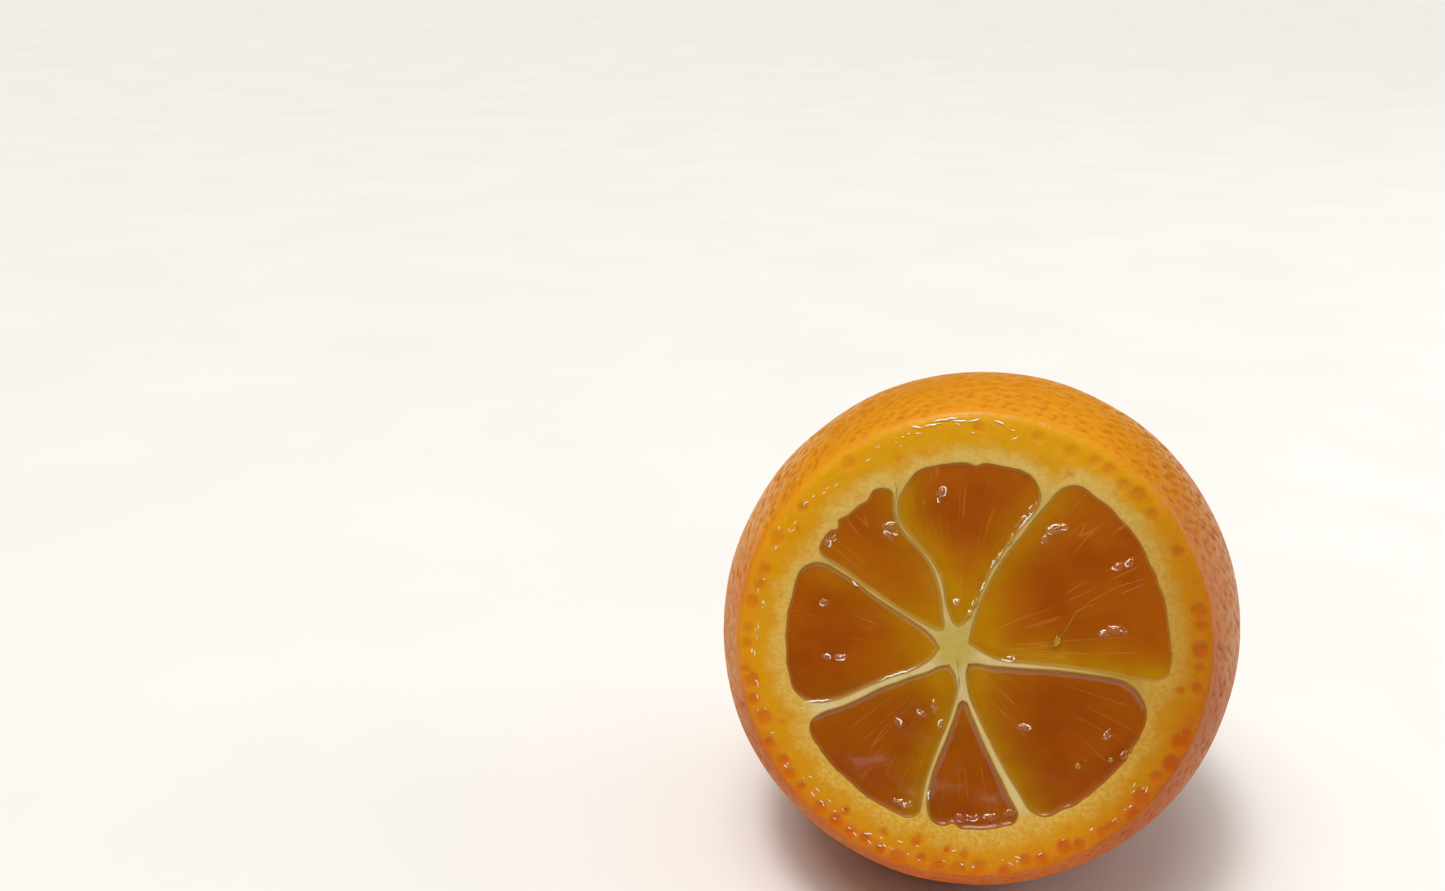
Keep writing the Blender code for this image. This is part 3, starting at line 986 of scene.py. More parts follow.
@dataclass
class Pulp:
    """One wet segment: a closed body whose cut surface rises to its walls."""

    plan: SegmentPlan
    sides: int = 90
    arcs: int = 120
    rings: int = 84
    back_rows: int = 7
    overlap: float = 0.06 * MM
    clear: float = 0.05 * MM
    lip: float = 0.025 * MM
    drop_rise: float = 0.18 * MM
    drop_reach: float = 0.9 * MM

    def build(self, place: Matrix) -> bpy.types.Object:
        """Model the segment.

        Args:
            place: the fruit's place in the frame.

        Returns:
            The finished piece.
        """
        bm = bmesh.new()
        bm.verts.layers.float_vector.new(COORDINATES)
        for name in ("edge_mm", "glow", "film"):
            bm.verts.layers.float.new(name)
        reach = FORM.pulp_radius + self.plan.bulge
        outline = self.plan.outline(reach + self.overlap, -self.overlap, self.sides, self.arcs)
        hub = sum(outline, Vector((0, 0))) / len(outline)
        level = FORM.cut_ahead - self.lip
        edge = Ring(bm, [point.to_3d() + Vector((0, 0, level)) for point in outline])
        ring = edge
        for row in range(1, self.rings + 1):
            share = (row / (self.rings + 1)) ** 1.35
            ring = ring.grow([point.lerp(hub, share).to_3d() + Vector((0, 0, level)) for point in outline])
        ring.close(hub.to_3d() + Vector((0, 0, level)))
        surface = set(bm.verts)
        self.build_back(edge)
        self.add_relief(bm, surface, outline)
        return finish_piece(self.plan.name + "_pulp", bm, place, Slot.PULP, self.plan.name)

    def build_back(self, edge: Ring) -> None:
        """Walls and tail behind the cut surface, just clear of the pocket.

        Args:
            edge: the loop round the cut surface.
        """
        ring = edge
        places = [FORM.cut_ahead - 0.5 * MM] + FORM.pulp_stations(self.back_rows)
        for along in places:
            reach = max(FORM.pulp_reach(along) + self.plan.bulge, self.plan.tip_radius(self.clear) + 1.2 * MM)
            outline = self.plan.outline(reach - self.clear, self.clear, self.sides, self.arcs)
            ring = ring.grow([point.to_3d() + Vector((0, 0, along)) for point in outline])
        ring.close(sum((vert.co for vert in ring.verts), Vector()) / len(ring.verts))

    def add_relief(self, bm: bmesh.types.BMesh, surface: set, outline: list[Vector]) -> None:
        """Sink the surface, let it climb its walls, ripple it, and write the colour masks.

        Args:
            bm: the segment's mesh.
            surface: the points of its cut surface.
            outline: its outline on the cut.
        """
        coordinates = bm.verts.layers.float_vector[COORDINATES]
        masks = {name: bm.verts.layers.float[name] for name in ("edge_mm", "glow", "film")}
        rim = field_of_points([point.to_3d() for point in outline[self.sides:self.sides + self.arcs]])
        flanks = outline[:self.sides] + outline[self.sides + self.arcs:]
        flanks = field_of_points([point.to_3d() for point in flanks])
        walls = []
        for septum, strength in (
            (self.plan.clockwise_wall, self.plan.glow_clockwise),
            (self.plan.anticlockwise_wall, self.plan.glow_anticlockwise),
        ):
            line = septum.middle_line(FORM.pulp_radius + self.plan.bulge, 120)
            walls.append((field_of_points([point.to_3d() for point in line]), strength))
        drops = field_of_points([Vector((x, y, 0)) * MM for x, y, *_ in DROPS])
        for vert in bm.verts:
            flat = Vector((vert.co.x, vert.co.y, 0))
            vert[coordinates] = vert.co / MM
            near, _, distance = min(rim.find(flat), flanks.find(flat), key=lambda found: found[2])
            beside = flanks.find(flat)[2]
            core = max((flat - FORM.core_middle.to_3d()).length - FORM.core_radius, 0.0)
            glow = 0.5 * math.exp(-(core / (1.9 * MM)) ** 1.5)
            for wall, strength in walls:
                away = max(wall.find(flat)[2] - 0.25 * MM, 0.0)
                glow += strength * math.exp(-(away / (1.15 * MM)) ** 1.5)
            vert[masks["glow"]] = min(glow, 1.0)
            vert[masks["film"]] = math.exp(-(max(beside - self.overlap, 0.0) / (0.09 * MM)) ** 2)
            if vert in surface:
                vert[masks["edge_mm"]] = distance / MM
                width = 0.06 * MM + 1.1 * self.plan.sink
                low_side = smooth(-0.5, 0.7, (flat.y - near.y) / max(distance, 0.01 * MM))
                climb = math.exp(-(max(distance - self.overlap, 0.0) / width) ** 2)
                climb *= 0.5 + 0.5 * low_side
                away = smooth(0.0, 0.6 * MM, distance)
                ripple = noise.fractal(flat / (1.8 * MM) + Vector((0, 0, 3)), 1.0, 2.0, 2) * 0.018 * MM
                vert.co.z += face_swell(flat)
                vert.co.z += -self.plan.sink * (1 - climb) + ripple * away + self.drops_at(flat, drops)
            else:
                vert[masks["edge_mm"]] = 0.0

    def drops_at(self, spot: Vector, drops: KDTree) -> float:
        """Height that uneven drops of juice add to the surface at a spot.

        Args:
            spot: the spot across the cut.
            drops: search tree over DROPS.

        Returns:
            The height above the film.
        """
        height = 0.0
        for place, index, _ in drops.find_range(spot, self.drop_reach):
            _, _, length, width, turn = DROPS[index]
            local = Matrix.Rotation(-math.radians(turn), 2) @ (spot - place).to_2d() / MM
            warp = noise.noise(spot / (0.35 * MM) + Vector((0, 0, index * 1.7))) * 0.12
            across = local.y - 0.8 * local.x ** 2 + warp
            inside = 1 - (local.x / (1.3 * length)) ** 2 - (across / (1.25 * width)) ** 2
            folds = 0.75 + 0.6 * noise.noise(spot / (0.14 * MM))
            height = max(height, self.drop_rise * min(width / 0.15, 1.4) * max(inside, 0.0) ** 1.3 * folds)
        return height


def rounded_drop(bm: bmesh.types.BMesh, where: Vector, size: Vector, turn: float, seed: float) -> None:
    """Uneven drop of juice, half sunk in the wet surface.

    Args:
        bm: the mesh that it joins.
        where: its middle, in the fruit's own axes.
        size: its half length, half width and half height.
        turn: bearing of its length.
        seed: a number that makes its shape its own.
    """
    made = bmesh.ops.create_icosphere(bm, subdivisions=3, radius=1.0)["verts"]
    for vert in made:
        bend = noise.noise(vert.co * 1.6 + Vector((seed, 2 * seed, 0))) * 0.45
        vert.co *= 1 + bend
        vert.co.y += 0.5 * vert.co.x ** 2
    place = Matrix.Translation(where) @ Matrix.Rotation(turn, 4, "Z") @ Matrix.Diagonal(size.to_4d())
    bmesh.ops.transform(bm, matrix=place, verts=made)


@dataclass
class Juice:
    """Bubbles and one loose fibre on the wet cut surface."""

    bubbles: tuple[tuple[float, float, float], ...] = (
        (6.6, -6.29, 0.27), (8.38, -5.74, 0.22), (7.0, -5.9, 0.12)
    )
    fibre: tuple[tuple[float, float], ...] = (
        (10.54, 4.99), (9.22, 4.59), (7.9, 4.02), (6.6, 3.11), (5.82, 2.36), (5.44, 1.53), (4.95, 0.68)
    )
    fibre_radius: float = 0.035 * MM

    def build(self, place: Matrix) -> bpy.types.Object:
        """Model bubbles and fibre as one wet piece.

        Args:
            place: the fruit's place in the frame.

        Returns:
            The finished piece.
        """
        bm = bmesh.new()
        coordinates = bm.verts.layers.float_vector.new(COORDINATES)
        masks = {name: bm.verts.layers.float.new(name) for name in ("edge_mm", "glow", "film")}
        for x, y, radius in self.bubbles:
            where = Vector((x, y, 0)) * MM + Vector((0, 0, self.level(x, y) - 0.6 * radius * MM))
            ball = bmesh.ops.create_icosphere(bm, subdivisions=3, radius=radius * MM)["verts"]
            bmesh.ops.translate(bm, verts=ball, vec=where)
        self.build_fibre(bm)
        for vert in bm.verts:
            vert[coordinates] = vert.co / MM
            vert[masks["edge_mm"]] = 1.0
            vert[masks["glow"]] = 1.0
        return finish_piece("juice_drops", bm, place, Slot.PULP)

    def level(self, x: float, y: float) -> float:
        """Height of the wet surface at a spot given in millimetres.

        Args:
            x: place across the cut.
            y: place up the cut.

        Returns:
            Distance along the fruit.
        """
        spot = Vector((x, y)) * MM - FORM.core_middle
        bearing = math.atan2(spot.y, spot.x)
        for plan in SEGMENTS:
            first, second = plan.span(spot.length)
            if 0 <= (bearing - first) % (2 * math.pi) <= second - first:
                return FORM.cut_ahead - 0.06 * MM - plan.sink
        return FORM.cut_ahead

    def build_fibre(self, bm: bmesh.types.BMesh) -> None:
        """Loose fibre that lies on the upper right segment and ends in a drop.

        Args:
            bm: the mesh that it joins.
        """
        line = resample([Vector(point) * MM for point in self.fibre], 40)
        steps = 8
        ring = None
        for index, point in enumerate(line):
            share = index / 40
            after = line[min(index + 1, 40)] - line[max(index - 1, 0)]
            across = Vector((-after.y, after.x, 0)).normalized()
            radius = self.fibre_radius * (0.35 + 0.8 * share)
            middle = point.to_3d() + Vector((0, 0, self.level(*(point / MM)) + 0.02 * MM))
            loop = []
            for step in range(steps):
                turn = 2 * math.pi * step / steps
                loop.append(middle + (across * math.cos(turn) + Vector((0, 0, 1)) * math.sin(turn)) * radius)
            if ring is None:
                ring = Ring(bm, loop)
                bmesh.ops.contextual_create(bm, geom=ring.edges)
            else:
                ring = ring.grow(loop)
        bmesh.ops.contextual_create(bm, geom=ring.edges)
        end = line[-1]
        where = end.to_3d() + Vector((0, 0, self.level(*(end / MM))))
        rounded_drop(bm, where, Vector((0.34, 0.17, 0.16)) * MM, math.radians(75), 1.3)


@dataclass
class Glints:
    """Painted highlights: thin near-white tubes curled round the drops, laid along walls and dotted on the
    zest.
    """

    thickness: float = 0.05 * MM
    sparks: int = 90
    steps: int = 18
    sides: int = 6
    seed: int = 5

    def build(self, place: Matrix) -> bpy.types.Object:
        """Model every painted highlight as one piece.

        Args:
            place: the fruit's place in the frame.

        Returns:
            The finished piece.
        """
        bm = bmesh.new()
        draw = random.Random(self.seed)
        for x, y, length, width, turn in DROPS:
            self.curl(bm, Vector((x, y)) * MM, length * MM, width * MM, math.radians(turn), draw)
        for septum, sign, first, last in PAINTED_WALL_GLINTS:
            self.wall_line(bm, septum, sign, first * MM, last * MM, draw)
        self.zest_sparks(bm, draw)
        return finish_piece("painted_glints", bm, place, Slot.PULP)

    def curl(
        self, bm: bmesh.types.BMesh, middle: Vector, length: float, width: float, turn: float,
        draw: random.Random,
    ) -> None:
        """Painted highlight: thin line bent round most of an uneven oval.

        Args:
            bm: the mesh that it joins.
            middle: its middle across the cut.
            length: half of the oval's length.
            width: half of the oval's width.
            turn: bearing of the oval's length.
            draw: source of its unevenness.
        """
        start = draw.uniform(0, 2 * math.pi)
        sweep = draw.uniform(2.2, 4.6)
        shift = draw.uniform(0, 50)
        along = Vector((math.cos(turn), math.sin(turn)))
        across = Vector((-along.y, along.x))
        line = []
        for step in range(self.steps + 1):
            angle = start + sweep * step / self.steps
            uneven = 1 + 0.5 * noise.noise(Vector((math.cos(angle), math.sin(angle), shift)) * 1.3)
            point = along * math.cos(angle) * length + across * math.sin(angle) * width
            line.append(middle + point * uneven)
        level = Juice().level(*(middle / MM)) + face_swell(middle.to_3d()) + 0.05 * MM
        self.thread(bm, line, level, self.thickness, shift)

    def wall_line(
        self, bm: bmesh.types.BMesh, septum: Septum, sign: int, first: float, last: float, draw: random.Random
    ) -> None:
        """Painted highlight line that hugs one side of a wall.

        Args:
            bm: the mesh that it joins.
            septum: the wall.
            sign: 1 for its anticlockwise side and -1 for the other.
            first: radius from the core where the line starts.
            last: radius from the core where it ends.
            draw: source of its unevenness.
        """
        shift = draw.uniform(0, 50)
        line = []
        for step in range(self.steps + 1):
            radius = first + (last - first) * step / self.steps
            waver = noise.noise(Vector((radius / (0.3 * MM), shift, 0))) * 0.07 * MM
            line.append(septum.point(radius, sign * (septum.half(radius) + 0.07 * MM + waver)))
        middle = line[len(line) // 2]
        level = FORM.cut_ahead + face_swell(middle.to_3d()) - 0.01 * MM
        self.thread(bm, line, level, self.thickness * 0.9, shift)

    def zest_sparks(self, bm: bmesh.types.BMesh, draw: random.Random) -> None:
        """Painted highlights: dots and short dashes on the zest, and a broken line at the top of the edge.

        Args:
            bm: the mesh that they join.
            draw: source of their unevenness.
        """
        places = ((92.5, 0.35), (96.0, 0.5), (99.5, 0.75), (103.0, 0.55), (107.0, 0.3), (86.0, 0.3))
        for bearing, length in places:
            radius = 12.95 * MM + draw.gauss(0, 0.05) * MM
            self.spark(bm, math.radians(bearing), radius, length * MM, 0.045 * MM, draw)
        for _ in range(self.sparks):
            bearing = math.radians(draw.uniform(80, 330))
            radius = draw.triangular(11.9, 13.0, 12.7) * MM
            length = draw.uniform(0.05, 0.2) * MM
            self.spark(bm, bearing, radius, length, draw.uniform(0.018, 0.034) * MM, draw)

    def spark(
        self, bm: bmesh.types.BMesh, bearing: float, radius: float, length: float, thickness: float,
        draw: random.Random,
    ) -> None:
        """Painted highlight: short dash along the edge of the cut.

        Args:
            bm: the mesh that it joins.
            bearing: bearing of its middle round the fruit's axis.
            radius: its distance from the fruit's axis.
            length: half of its length.
            thickness: its radius where it is thickest.
            draw: source of its unevenness.
        """
        shift = draw.uniform(0, 50)
        tilt = draw.gauss(0, 0.25)
        line = []
        for step in range(self.steps + 1):
            away = length * (2 * step / self.steps - 1)
            waver = noise.noise(Vector((away / (0.2 * MM), shift, 0))) * 0.05 * MM
            out = radius * FORM.girth(bearing) + waver + tilt * away
            line.append(heading(bearing + away / radius) * out)
        middle = line[len(line) // 2]
        self.thread(bm, line, FORM.cut_ahead + face_swell(middle.to_3d()) + 0.01 * MM, thickness, shift)

    def thread(
        self, bm: bmesh.types.BMesh, line: list[Vector], level: float, thickness: float, shift: float
    ) -> None:
        """Tube along a line, thickest halfway and uneven.

        Args:
            bm: the mesh that it joins.
            line: its points across the cut.
            level: its height along the fruit.
            thickness: its radius where it is thickest.
            shift: a number that makes its unevenness its own.
        """
        ring = None
        last = len(line) - 1
        for index, point in enumerate(line):
            ahead = (line[min(index + 1, last)] - line[max(index - 1, 0)]).to_3d().normalized()
            beside = Vector((-ahead.y, ahead.x, 0))
            radius = thickness * (0.2 + math.sin(math.pi * index / last))
            radius *= 0.85 + 0.7 * noise.noise(Vector((index * 0.6, shift, 0)))
            centre = point.to_3d() + Vector((0, 0, level))
            turns = [2 * math.pi * side / self.sides for side in range(self.sides)]
            loop = [centre + (beside * math.cos(a) + Vector((0, 0, 1)) * math.sin(a)) * radius for a in turns]
            if ring is None:
                ring = Ring(bm, loop)
                bmesh.ops.contextual_create(bm, geom=ring.edges)
            else:
                ring = ring.grow(loop)
        bmesh.ops.contextual_create(bm, geom=ring.edges)


class NodePatch:
    """Small helper that adds and links nodes in one tree."""

    def __init__(self, tree: bpy.types.NodeTree) -> None:
        """Work on a tree."""
        self.tree = tree

    def add(self, kind: str, **values: object) -> bpy.types.Node:
        """Add a node, with its properties set by name.

        Args:
            kind: the node's type.
            values: its properties.

        Returns:
            The node.
        """
        node = self.tree.nodes.new(kind)
        for key, value in values.items():
            setattr(node, key, value)
        return node

    def feed(self, socket: bpy.types.NodeSocket, value: object) -> None:
        """Link an output to a socket, or set the socket's own value.

        Args:
            socket: the input.
            value: an output to link, or a value.
        """
        if isinstance(value, bpy.types.NodeSocket):
            self.tree.links.new(value, socket)
        else:
            socket.default_value = value

    def math(self, operation: str, *values: object, clamp: bool = False) -> bpy.types.NodeSocket:
        """Math node's output.

        Args:
            operation: what the node does.
            values: its inputs in order.
            clamp: keep it from 0 to 1.

        Returns:
            Its output.
        """
        node = self.add("ShaderNodeMath", operation=operation, use_clamp=clamp)
        for socket, value in zip(node.inputs, values):
            self.feed(socket, value)
        return node.outputs[0]

    def mix(self, share: object, first: object, second: object) -> bpy.types.NodeSocket:
        """Colour mixed from two others.

        Args:
            share: how much of the second.
            first: colour at 0.
            second: colour at 1.

        Returns:
            The colour.
        """
        node = self.add("ShaderNodeMix", data_type="RGBA")
        self.feed(node.inputs[0], share)
        self.feed(node.inputs[6], first)
        self.feed(node.inputs[7], second)
        return node.outputs[2]

    def step(
        self, value: object, low: object, high: object, start: float = 0.0, end: float = 1.0
    ) -> bpy.types.NodeSocket:
        """Value that runs softly from start at low to end at high.

        Args:
            value: what is measured.
            low: where the step starts.
            high: where it ends.
            start: the result at low.
            end: the result at high.

        Returns:
            The stepped value.
        """
        node = self.add("ShaderNodeMapRange", interpolation_type="SMOOTHSTEP")
        self.dress(node, {
            "Value": value, "From Min": low, "From Max": high, "To Min": start, "To Max": end
        })
        return node.outputs["Result"]

    def tint(self, share: object, colour: object, tint: tuple) -> bpy.types.NodeSocket:
        """Colour multiplied by a tint, as far as the share says.

        Args:
            share: how much of the tint.
            colour: the colour.
            tint: what it is multiplied by.

        Returns:
            The tinted colour.
        """
        node = self.add("ShaderNodeMix", data_type="RGBA", blend_type="MULTIPLY")
        self.feed(node.inputs[0], share)
        self.feed(node.inputs[6], colour)
        self.feed(node.inputs[7], tint)
        return node.outputs[2]

    def axes(self, vector: object) -> bpy.types.bpy_prop_collection:
        """X, Y and Z of a vector.

        Args:
            vector: the vector.

        Returns:
            Three outputs.
        """
        node = self.add("ShaderNodeSeparateXYZ")
        self.feed(node.inputs[0], vector)
        return node.outputs

    def noise(self, vector: object, scale: float, detail: float) -> bpy.types.NodeSocket:
        """Plain noise from 0 to 1.

        Args:
            vector: place.
            scale: waves per unit.
            detail: finer waves added.

        Returns:
            The noise.
        """
        node = self.add("ShaderNodeTexNoise")
        self.dress(node, {"Vector": vector, "Scale": scale, "Detail": detail})
        return node.outputs["Fac"]

    def dress(self, shader: bpy.types.Node, values: dict[str, object]) -> None:
        """Feed several of a shader's inputs by name.

        Args:
            shader: the shader.
            values: outputs or values by input name.
        """
        for name, value in values.items():
            self.feed(shader.inputs[name], value)

    def attribute(self, name: str, output: str = "Fac") -> bpy.types.NodeSocket:
        """Output of a mesh attribute."""
        return self.add("ShaderNodeAttribute", attribute_name=name).outputs[output]

    def ramp(self, value: object, stops: list[tuple[float, tuple]]) -> bpy.types.NodeSocket:
        """Colour ramp's output.

        Args:
            value: place on the ramp.
            stops: position and colour of each stop.

        Returns:
            The colour.
        """
        node = self.add("ShaderNodeValToRGB")
        elements = node.color_ramp.elements
        while len(elements) < len(stops):
            elements.new(0.5)
        for element, (position, colour) in zip(elements, stops):
            element.position = position
            element.color = colour
        self.feed(node.inputs["Fac"], value)
        return node.outputs["Color"]

    def group(self, tree: bpy.types.NodeTree, **values: object) -> bpy.types.Node:
        """Node group placed here, with its inputs fed by name.

        Args:
            tree: the group.
            values: outputs or values by input name.

        Returns:
            The placed node.
        """
        node = self.add("ShaderNodeGroup", node_tree=tree)
        for key, value in values.items():
            self.feed(node.inputs[key], value)
        return node


def new_group(
    name: str, inputs: dict[str, float], outputs: list[str]
) -> tuple[bpy.types.NodeTree, NodePatch]:
    """Empty shader group with a vector input and named value sockets.

    Args:
        name: the group's name.
        inputs: name and value of each number that goes in.
        outputs: names of the masks that it puts out.

    Returns:
        The group and a patch to fill it with.
    """
    tree = bpy.data.node_groups.new(name, "ShaderNodeTree")
    tree.interface.new_socket("Vector", in_out="INPUT", socket_type="NodeSocketVector")
    for key, value in inputs.items():
        socket = tree.interface.new_socket(key, in_out="INPUT", socket_type="NodeSocketFloat")
        socket.default_value = value
    for key in outputs:
        tree.interface.new_socket(key, in_out="OUTPUT", socket_type="NodeSocketFloat")
    return tree, NodePatch(tree)


def make_mottle() -> bpy.types.NodeTree:
    """Group: cloudy noise, stretched so that it runs from 0 to 1 between two levels.

    Returns:
        The group.
    """
    tree, patch = new_group("mottle", {"Scale": 1.0, "Detail": 3.0, "Low": 0.4, "High": 0.6}, ["Mask"])
    start = patch.add("NodeGroupInput")
    end = patch.add("NodeGroupOutput")
    cloud = patch.noise(start.outputs["Vector"], start.outputs["Scale"], start.outputs["Detail"])
    patch.feed(end.inputs["Mask"], patch.step(cloud, start.outputs["Low"], start.outputs["High"]))
    return tree


def make_sac_lines() -> bpy.types.NodeTree:
    """Group: thin lines that run out from the core, where juice sacs lie against each other.

    Returns:
        The group.
    """
    tree, patch = new_group("sac_lines", {"Count": 3.0, "Width": 0.03, "Seed": 0.0}, ["Mask"])
    start = patch.add("NodeGroupInput")
    end = patch.add("NodeGroupOutput")
    centred = patch.add("ShaderNodeVectorMath", operation="SUBTRACT")
    patch.feed(centred.inputs[0], start.outputs["Vector"])
    centred.inputs[1].default_value = (FORM.core_middle / MM).to_3d()
    parts = patch.axes(centred.outputs[0])
    flat = patch.add("ShaderNodeCombineXYZ")
    patch.feed(flat.inputs[0], parts[0])
    patch.feed(flat.inputs[1], parts[1])
    out = patch.add("ShaderNodeVectorMath", operation="LENGTH")
    patch.feed(out.inputs[0], flat.outputs[0])
    unit = patch.add("ShaderNodeVectorMath", operation="NORMALIZE")
    patch.feed(unit.inputs[0], flat.outputs[0])
    scaled = patch.add("ShaderNodeVectorMath", operation="SCALE")
    patch.feed(scaled.inputs[0], unit.outputs[0])
    patch.feed(scaled.inputs["Scale"], start.outputs["Count"])
    turned = patch.axes(scaled.outputs[0])
    depth = patch.math("MULTIPLY_ADD", out.outputs["Value"], 0.06, start.outputs["Seed"])
    place = patch.add("ShaderNodeCombineXYZ")
    patch.feed(place.inputs[0], turned[0])
    patch.feed(place.inputs[1], turned[1])
    patch.feed(place.inputs[2], depth)
    cloud = patch.noise(place.outputs[0], 1.0, 1.0)
    away = patch.math("ABSOLUTE", patch.math("SUBTRACT", cloud, 0.5))
    thin = patch.math("SUBTRACT", 1.0, patch.math("DIVIDE", away, start.outputs["Width"]), clamp=True)
    patch.feed(end.inputs["Mask"], patch.math("POWER", thin, 2.0))
    return tree


class Finishes:
    """Every material of the scene, with the groups that they share."""

    def __init__(self) -> None:
        """Build the shared groups."""
        self.mottle = make_mottle()
        self.sac_lines = make_sac_lines()

    def start(self, name: str) -> tuple[bpy.types.Material, NodePatch, bpy.types.Node]:
        """New material with its patch and its Principled shader.

        Args:
            name: the material's name.

        Returns:
            The material, its patch and its shader.
        """
        material = bpy.data.materials.new(name)
        material.use_nodes = True
        return material, NodePatch(material.node_tree), material.node_tree.nodes["Principled BSDF"]

    def cloud(
        self, patch: NodePatch, where: object, scale: float, detail: float, low: float, high: float
    ) -> bpy.types.NodeSocket:
        """Mottle mask at a scale in waves per millimetre.

        Args:
            patch: the material's patch.
            where: place in millimetres.
            scale: waves per millimetre.
            detail: finer waves added.
            low: noise that gives 0.
            high: noise that gives 1.

        Returns:
            The mask.
        """
        values = {"Vector": where, "Scale": scale, "Detail": detail, "Low": low, "High": high}
        return patch.group(self.mottle, **values).outputs["Mask"]

    def bump(
        self, patch: NodePatch, shader: bpy.types.Node, height: object, strength: float, depth: float
    ) -> None:
        """Bump node on a shader's Normal.

        Args:
            patch: the material's patch.
            shader: the shader.
            height: the height.
            strength: how much of it shows.
            depth: its full depth.
        """
        node = patch.add("ShaderNodeBump")
        node.inputs["Strength"].default_value = strength
        node.inputs["Distance"].default_value = depth
        patch.feed(node.inputs["Height"], height)
        patch.feed(shader.inputs["Normal"], node.outputs["Normal"])

    def rind(self) -> bpy.types.Material:
        """Waxy orange skin, oily zest and dry pith, blended by the rind's own masks, with painted light at
        the top and painted shade toward the bottom, toward the right and in the pits.

        Returns:
            The material.
        """
        material, patch, shader = self.start("rind")
        where = patch.attribute(COORDINATES, "Vector")
        skin = patch.attribute("skin")
        pit = patch.attribute("pit")
        broad = self.cloud(patch, where, 0.11, 2.0, 0.35, 0.65)
        parts = patch.axes(where)
        # Share toward the top of the fruit, used below for painted light at the top and painted shade toward
        # the bottom, and also for the skin's roughness and coat.
        lit_top = patch.step(patch.math("MULTIPLY_ADD", broad, 6.0, parts[1]), -12.0, 18.0)
        fine = self.cloud(patch, where, 1.7, 4.0, 0.3, 0.7)
        # Painted light and shade: the skin is lighter and yellower at the top, darker and redder toward the
        # bottom.
        peel = patch.mix(lit_top, srgb(190, 82, 0), srgb(224, 148, 0))
        peel = patch.mix(patch.math("MULTIPLY", fine, 0.25), peel, srgb(228, 152, 0))
        # Painted shade: the pits are darker than the skin around them, most in the deepest.
        peel = patch.mix(patch.math("MULTIPLY", pit, 0.6), peel, srgb(170, 62, 0))
        rough_edge = self.cloud(patch, where, 0.9, 4.0, 0.25, 0.75)
        depth = patch.math("MULTIPLY_ADD", rough_edge, 0.9, patch.attribute("rim_mm"))
        depth = patch.math("SUBTRACT", depth, 0.45)
        inland = patch.math("MULTIPLY_ADD", rough_edge, 0.7, patch.attribute("pocket_mm"))
        pith = patch.step(inland, 1.75, 0.55)
        flesh = patch.ramp(patch.math("DIVIDE", depth, 3.2), [
            (0.0, srgb(200, 104, 0)),
            (0.2, srgb(206, 124, 0)),
            (0.45, srgb(206, 142, 0)),
        ])
        outer = patch.math("SUBTRACT", 1.0, patch.math("DIVIDE", depth, 3.2), clamp=True)
        # Painted light: the zest is more golden toward the top.
        gold = patch.math("MULTIPLY", lit_top, outer)
        flesh = patch.mix(patch.math("MULTIPLY", gold, 0.8), flesh, srgb(228, 172, 0))
        grain = self.cloud(patch, where, 4.5, 4.0, 0.3, 0.7)
        # Painted light: the pith is paler toward the top.
        pale = patch.mix(lit_top, srgb(206, 154, 30), srgb(208, 172, 82))
        pale = patch.mix(patch.math("MULTIPLY", grain, 0.45), pale, srgb(228, 200, 128))
        flesh = patch.mix(pith, flesh, pale)
        flesh = patch.mix(patch.math("MULTIPLY", grain, 0.15), flesh, srgb(226, 176, 50))
        flesh = patch.mix(patch.math("MULTIPLY", patch.attribute("gland"), 0.85), flesh, srgb(202, 92, 0))
        wall = patch.mix(patch.attribute("pale"), srgb(186, 146, 40), srgb(216, 196, 146))
        stain = patch.math("MULTIPLY", self.cloud(patch, where, 1.1, 2.0, 0.4, 0.7), 0.3)
        wall = patch.mix(stain, wall, srgb(190, 158, 66))
        hub = patch.add("ShaderNodeVectorMath", operation="DISTANCE")
        patch.feed(hub.inputs[0], where)
        hub.inputs[1].default_value = ((FORM.core_middle / MM).to_3d() + Vector((0, 0, FORM.cut_ahead / MM)))
        wall = patch.mix(patch.step(hub.outputs["Value"], 1.9, 0.7), wall, srgb(188, 166, 78))
        wall = patch.mix(patch.math("MULTIPLY", grain, 0.15), wall, srgb(226, 206, 150))
        wall = patch.mix(patch.step(patch.attribute("pocket_mm"), 0.0, 0.13), srgb(180, 126, 8), wall)
        flesh = patch.mix(patch.attribute("wall"), flesh, wall)
        colour = patch.mix(skin, flesh, peel)
        # Painted shade: the whole rind, skin and cut face, is darker toward the right side.
        colour = patch.tint(patch.step(parts[0], 5.0, 13.5), colour, (0.76, 0.66, 0.45, 1.0))
        wet = self.cloud(patch, where, 1.3, 3.0, 0.45, 0.6)
        face_rough = patch.math("MULTIPLY_ADD", wet, -0.22, 0.5)
        skin_rough = patch.math("MULTIPLY_ADD", lit_top, -0.22, patch.math("MULTIPLY_ADD", fine, 0.08, 0.5))
        mixed = patch.add("ShaderNodeMix")
        patch.feed(mixed.inputs[0], skin)
        patch.feed(mixed.inputs[2], face_rough)
        patch.feed(mixed.inputs[3], skin_rough)
        patch.dress(shader, {
            "Base Color": colour,
            "Roughness": mixed.outputs[0],
            "Coat Weight": patch.math("MULTIPLY", skin, patch.math("MULTIPLY_ADD", lit_top, 0.12, 0.01)),
            "Coat Roughness": 0.25,
            "Subsurface Weight": 0.3,
            "Subsurface Radius": (1.0, 0.5, 0.12),
            "Subsurface Scale": 0.5 * MM,
            "IOR": 1.4,
            "Specular IOR Level": 0.25,
        })
        pores = patch.add("ShaderNodeTexVoronoi")
        patch.feed(pores.inputs["Vector"], where)
        pores.inputs["Scale"].default_value = 1.9
        pore = patch.math("MULTIPLY", patch.math("MULTIPLY", pores.outputs["Distance"], skin), 0.9)
        height = patch.math("ADD", patch.noise(where, 3.4, 4.0), pore)
        self.bump(patch, shader, height, 0.55, 0.09 * MM)
        return material

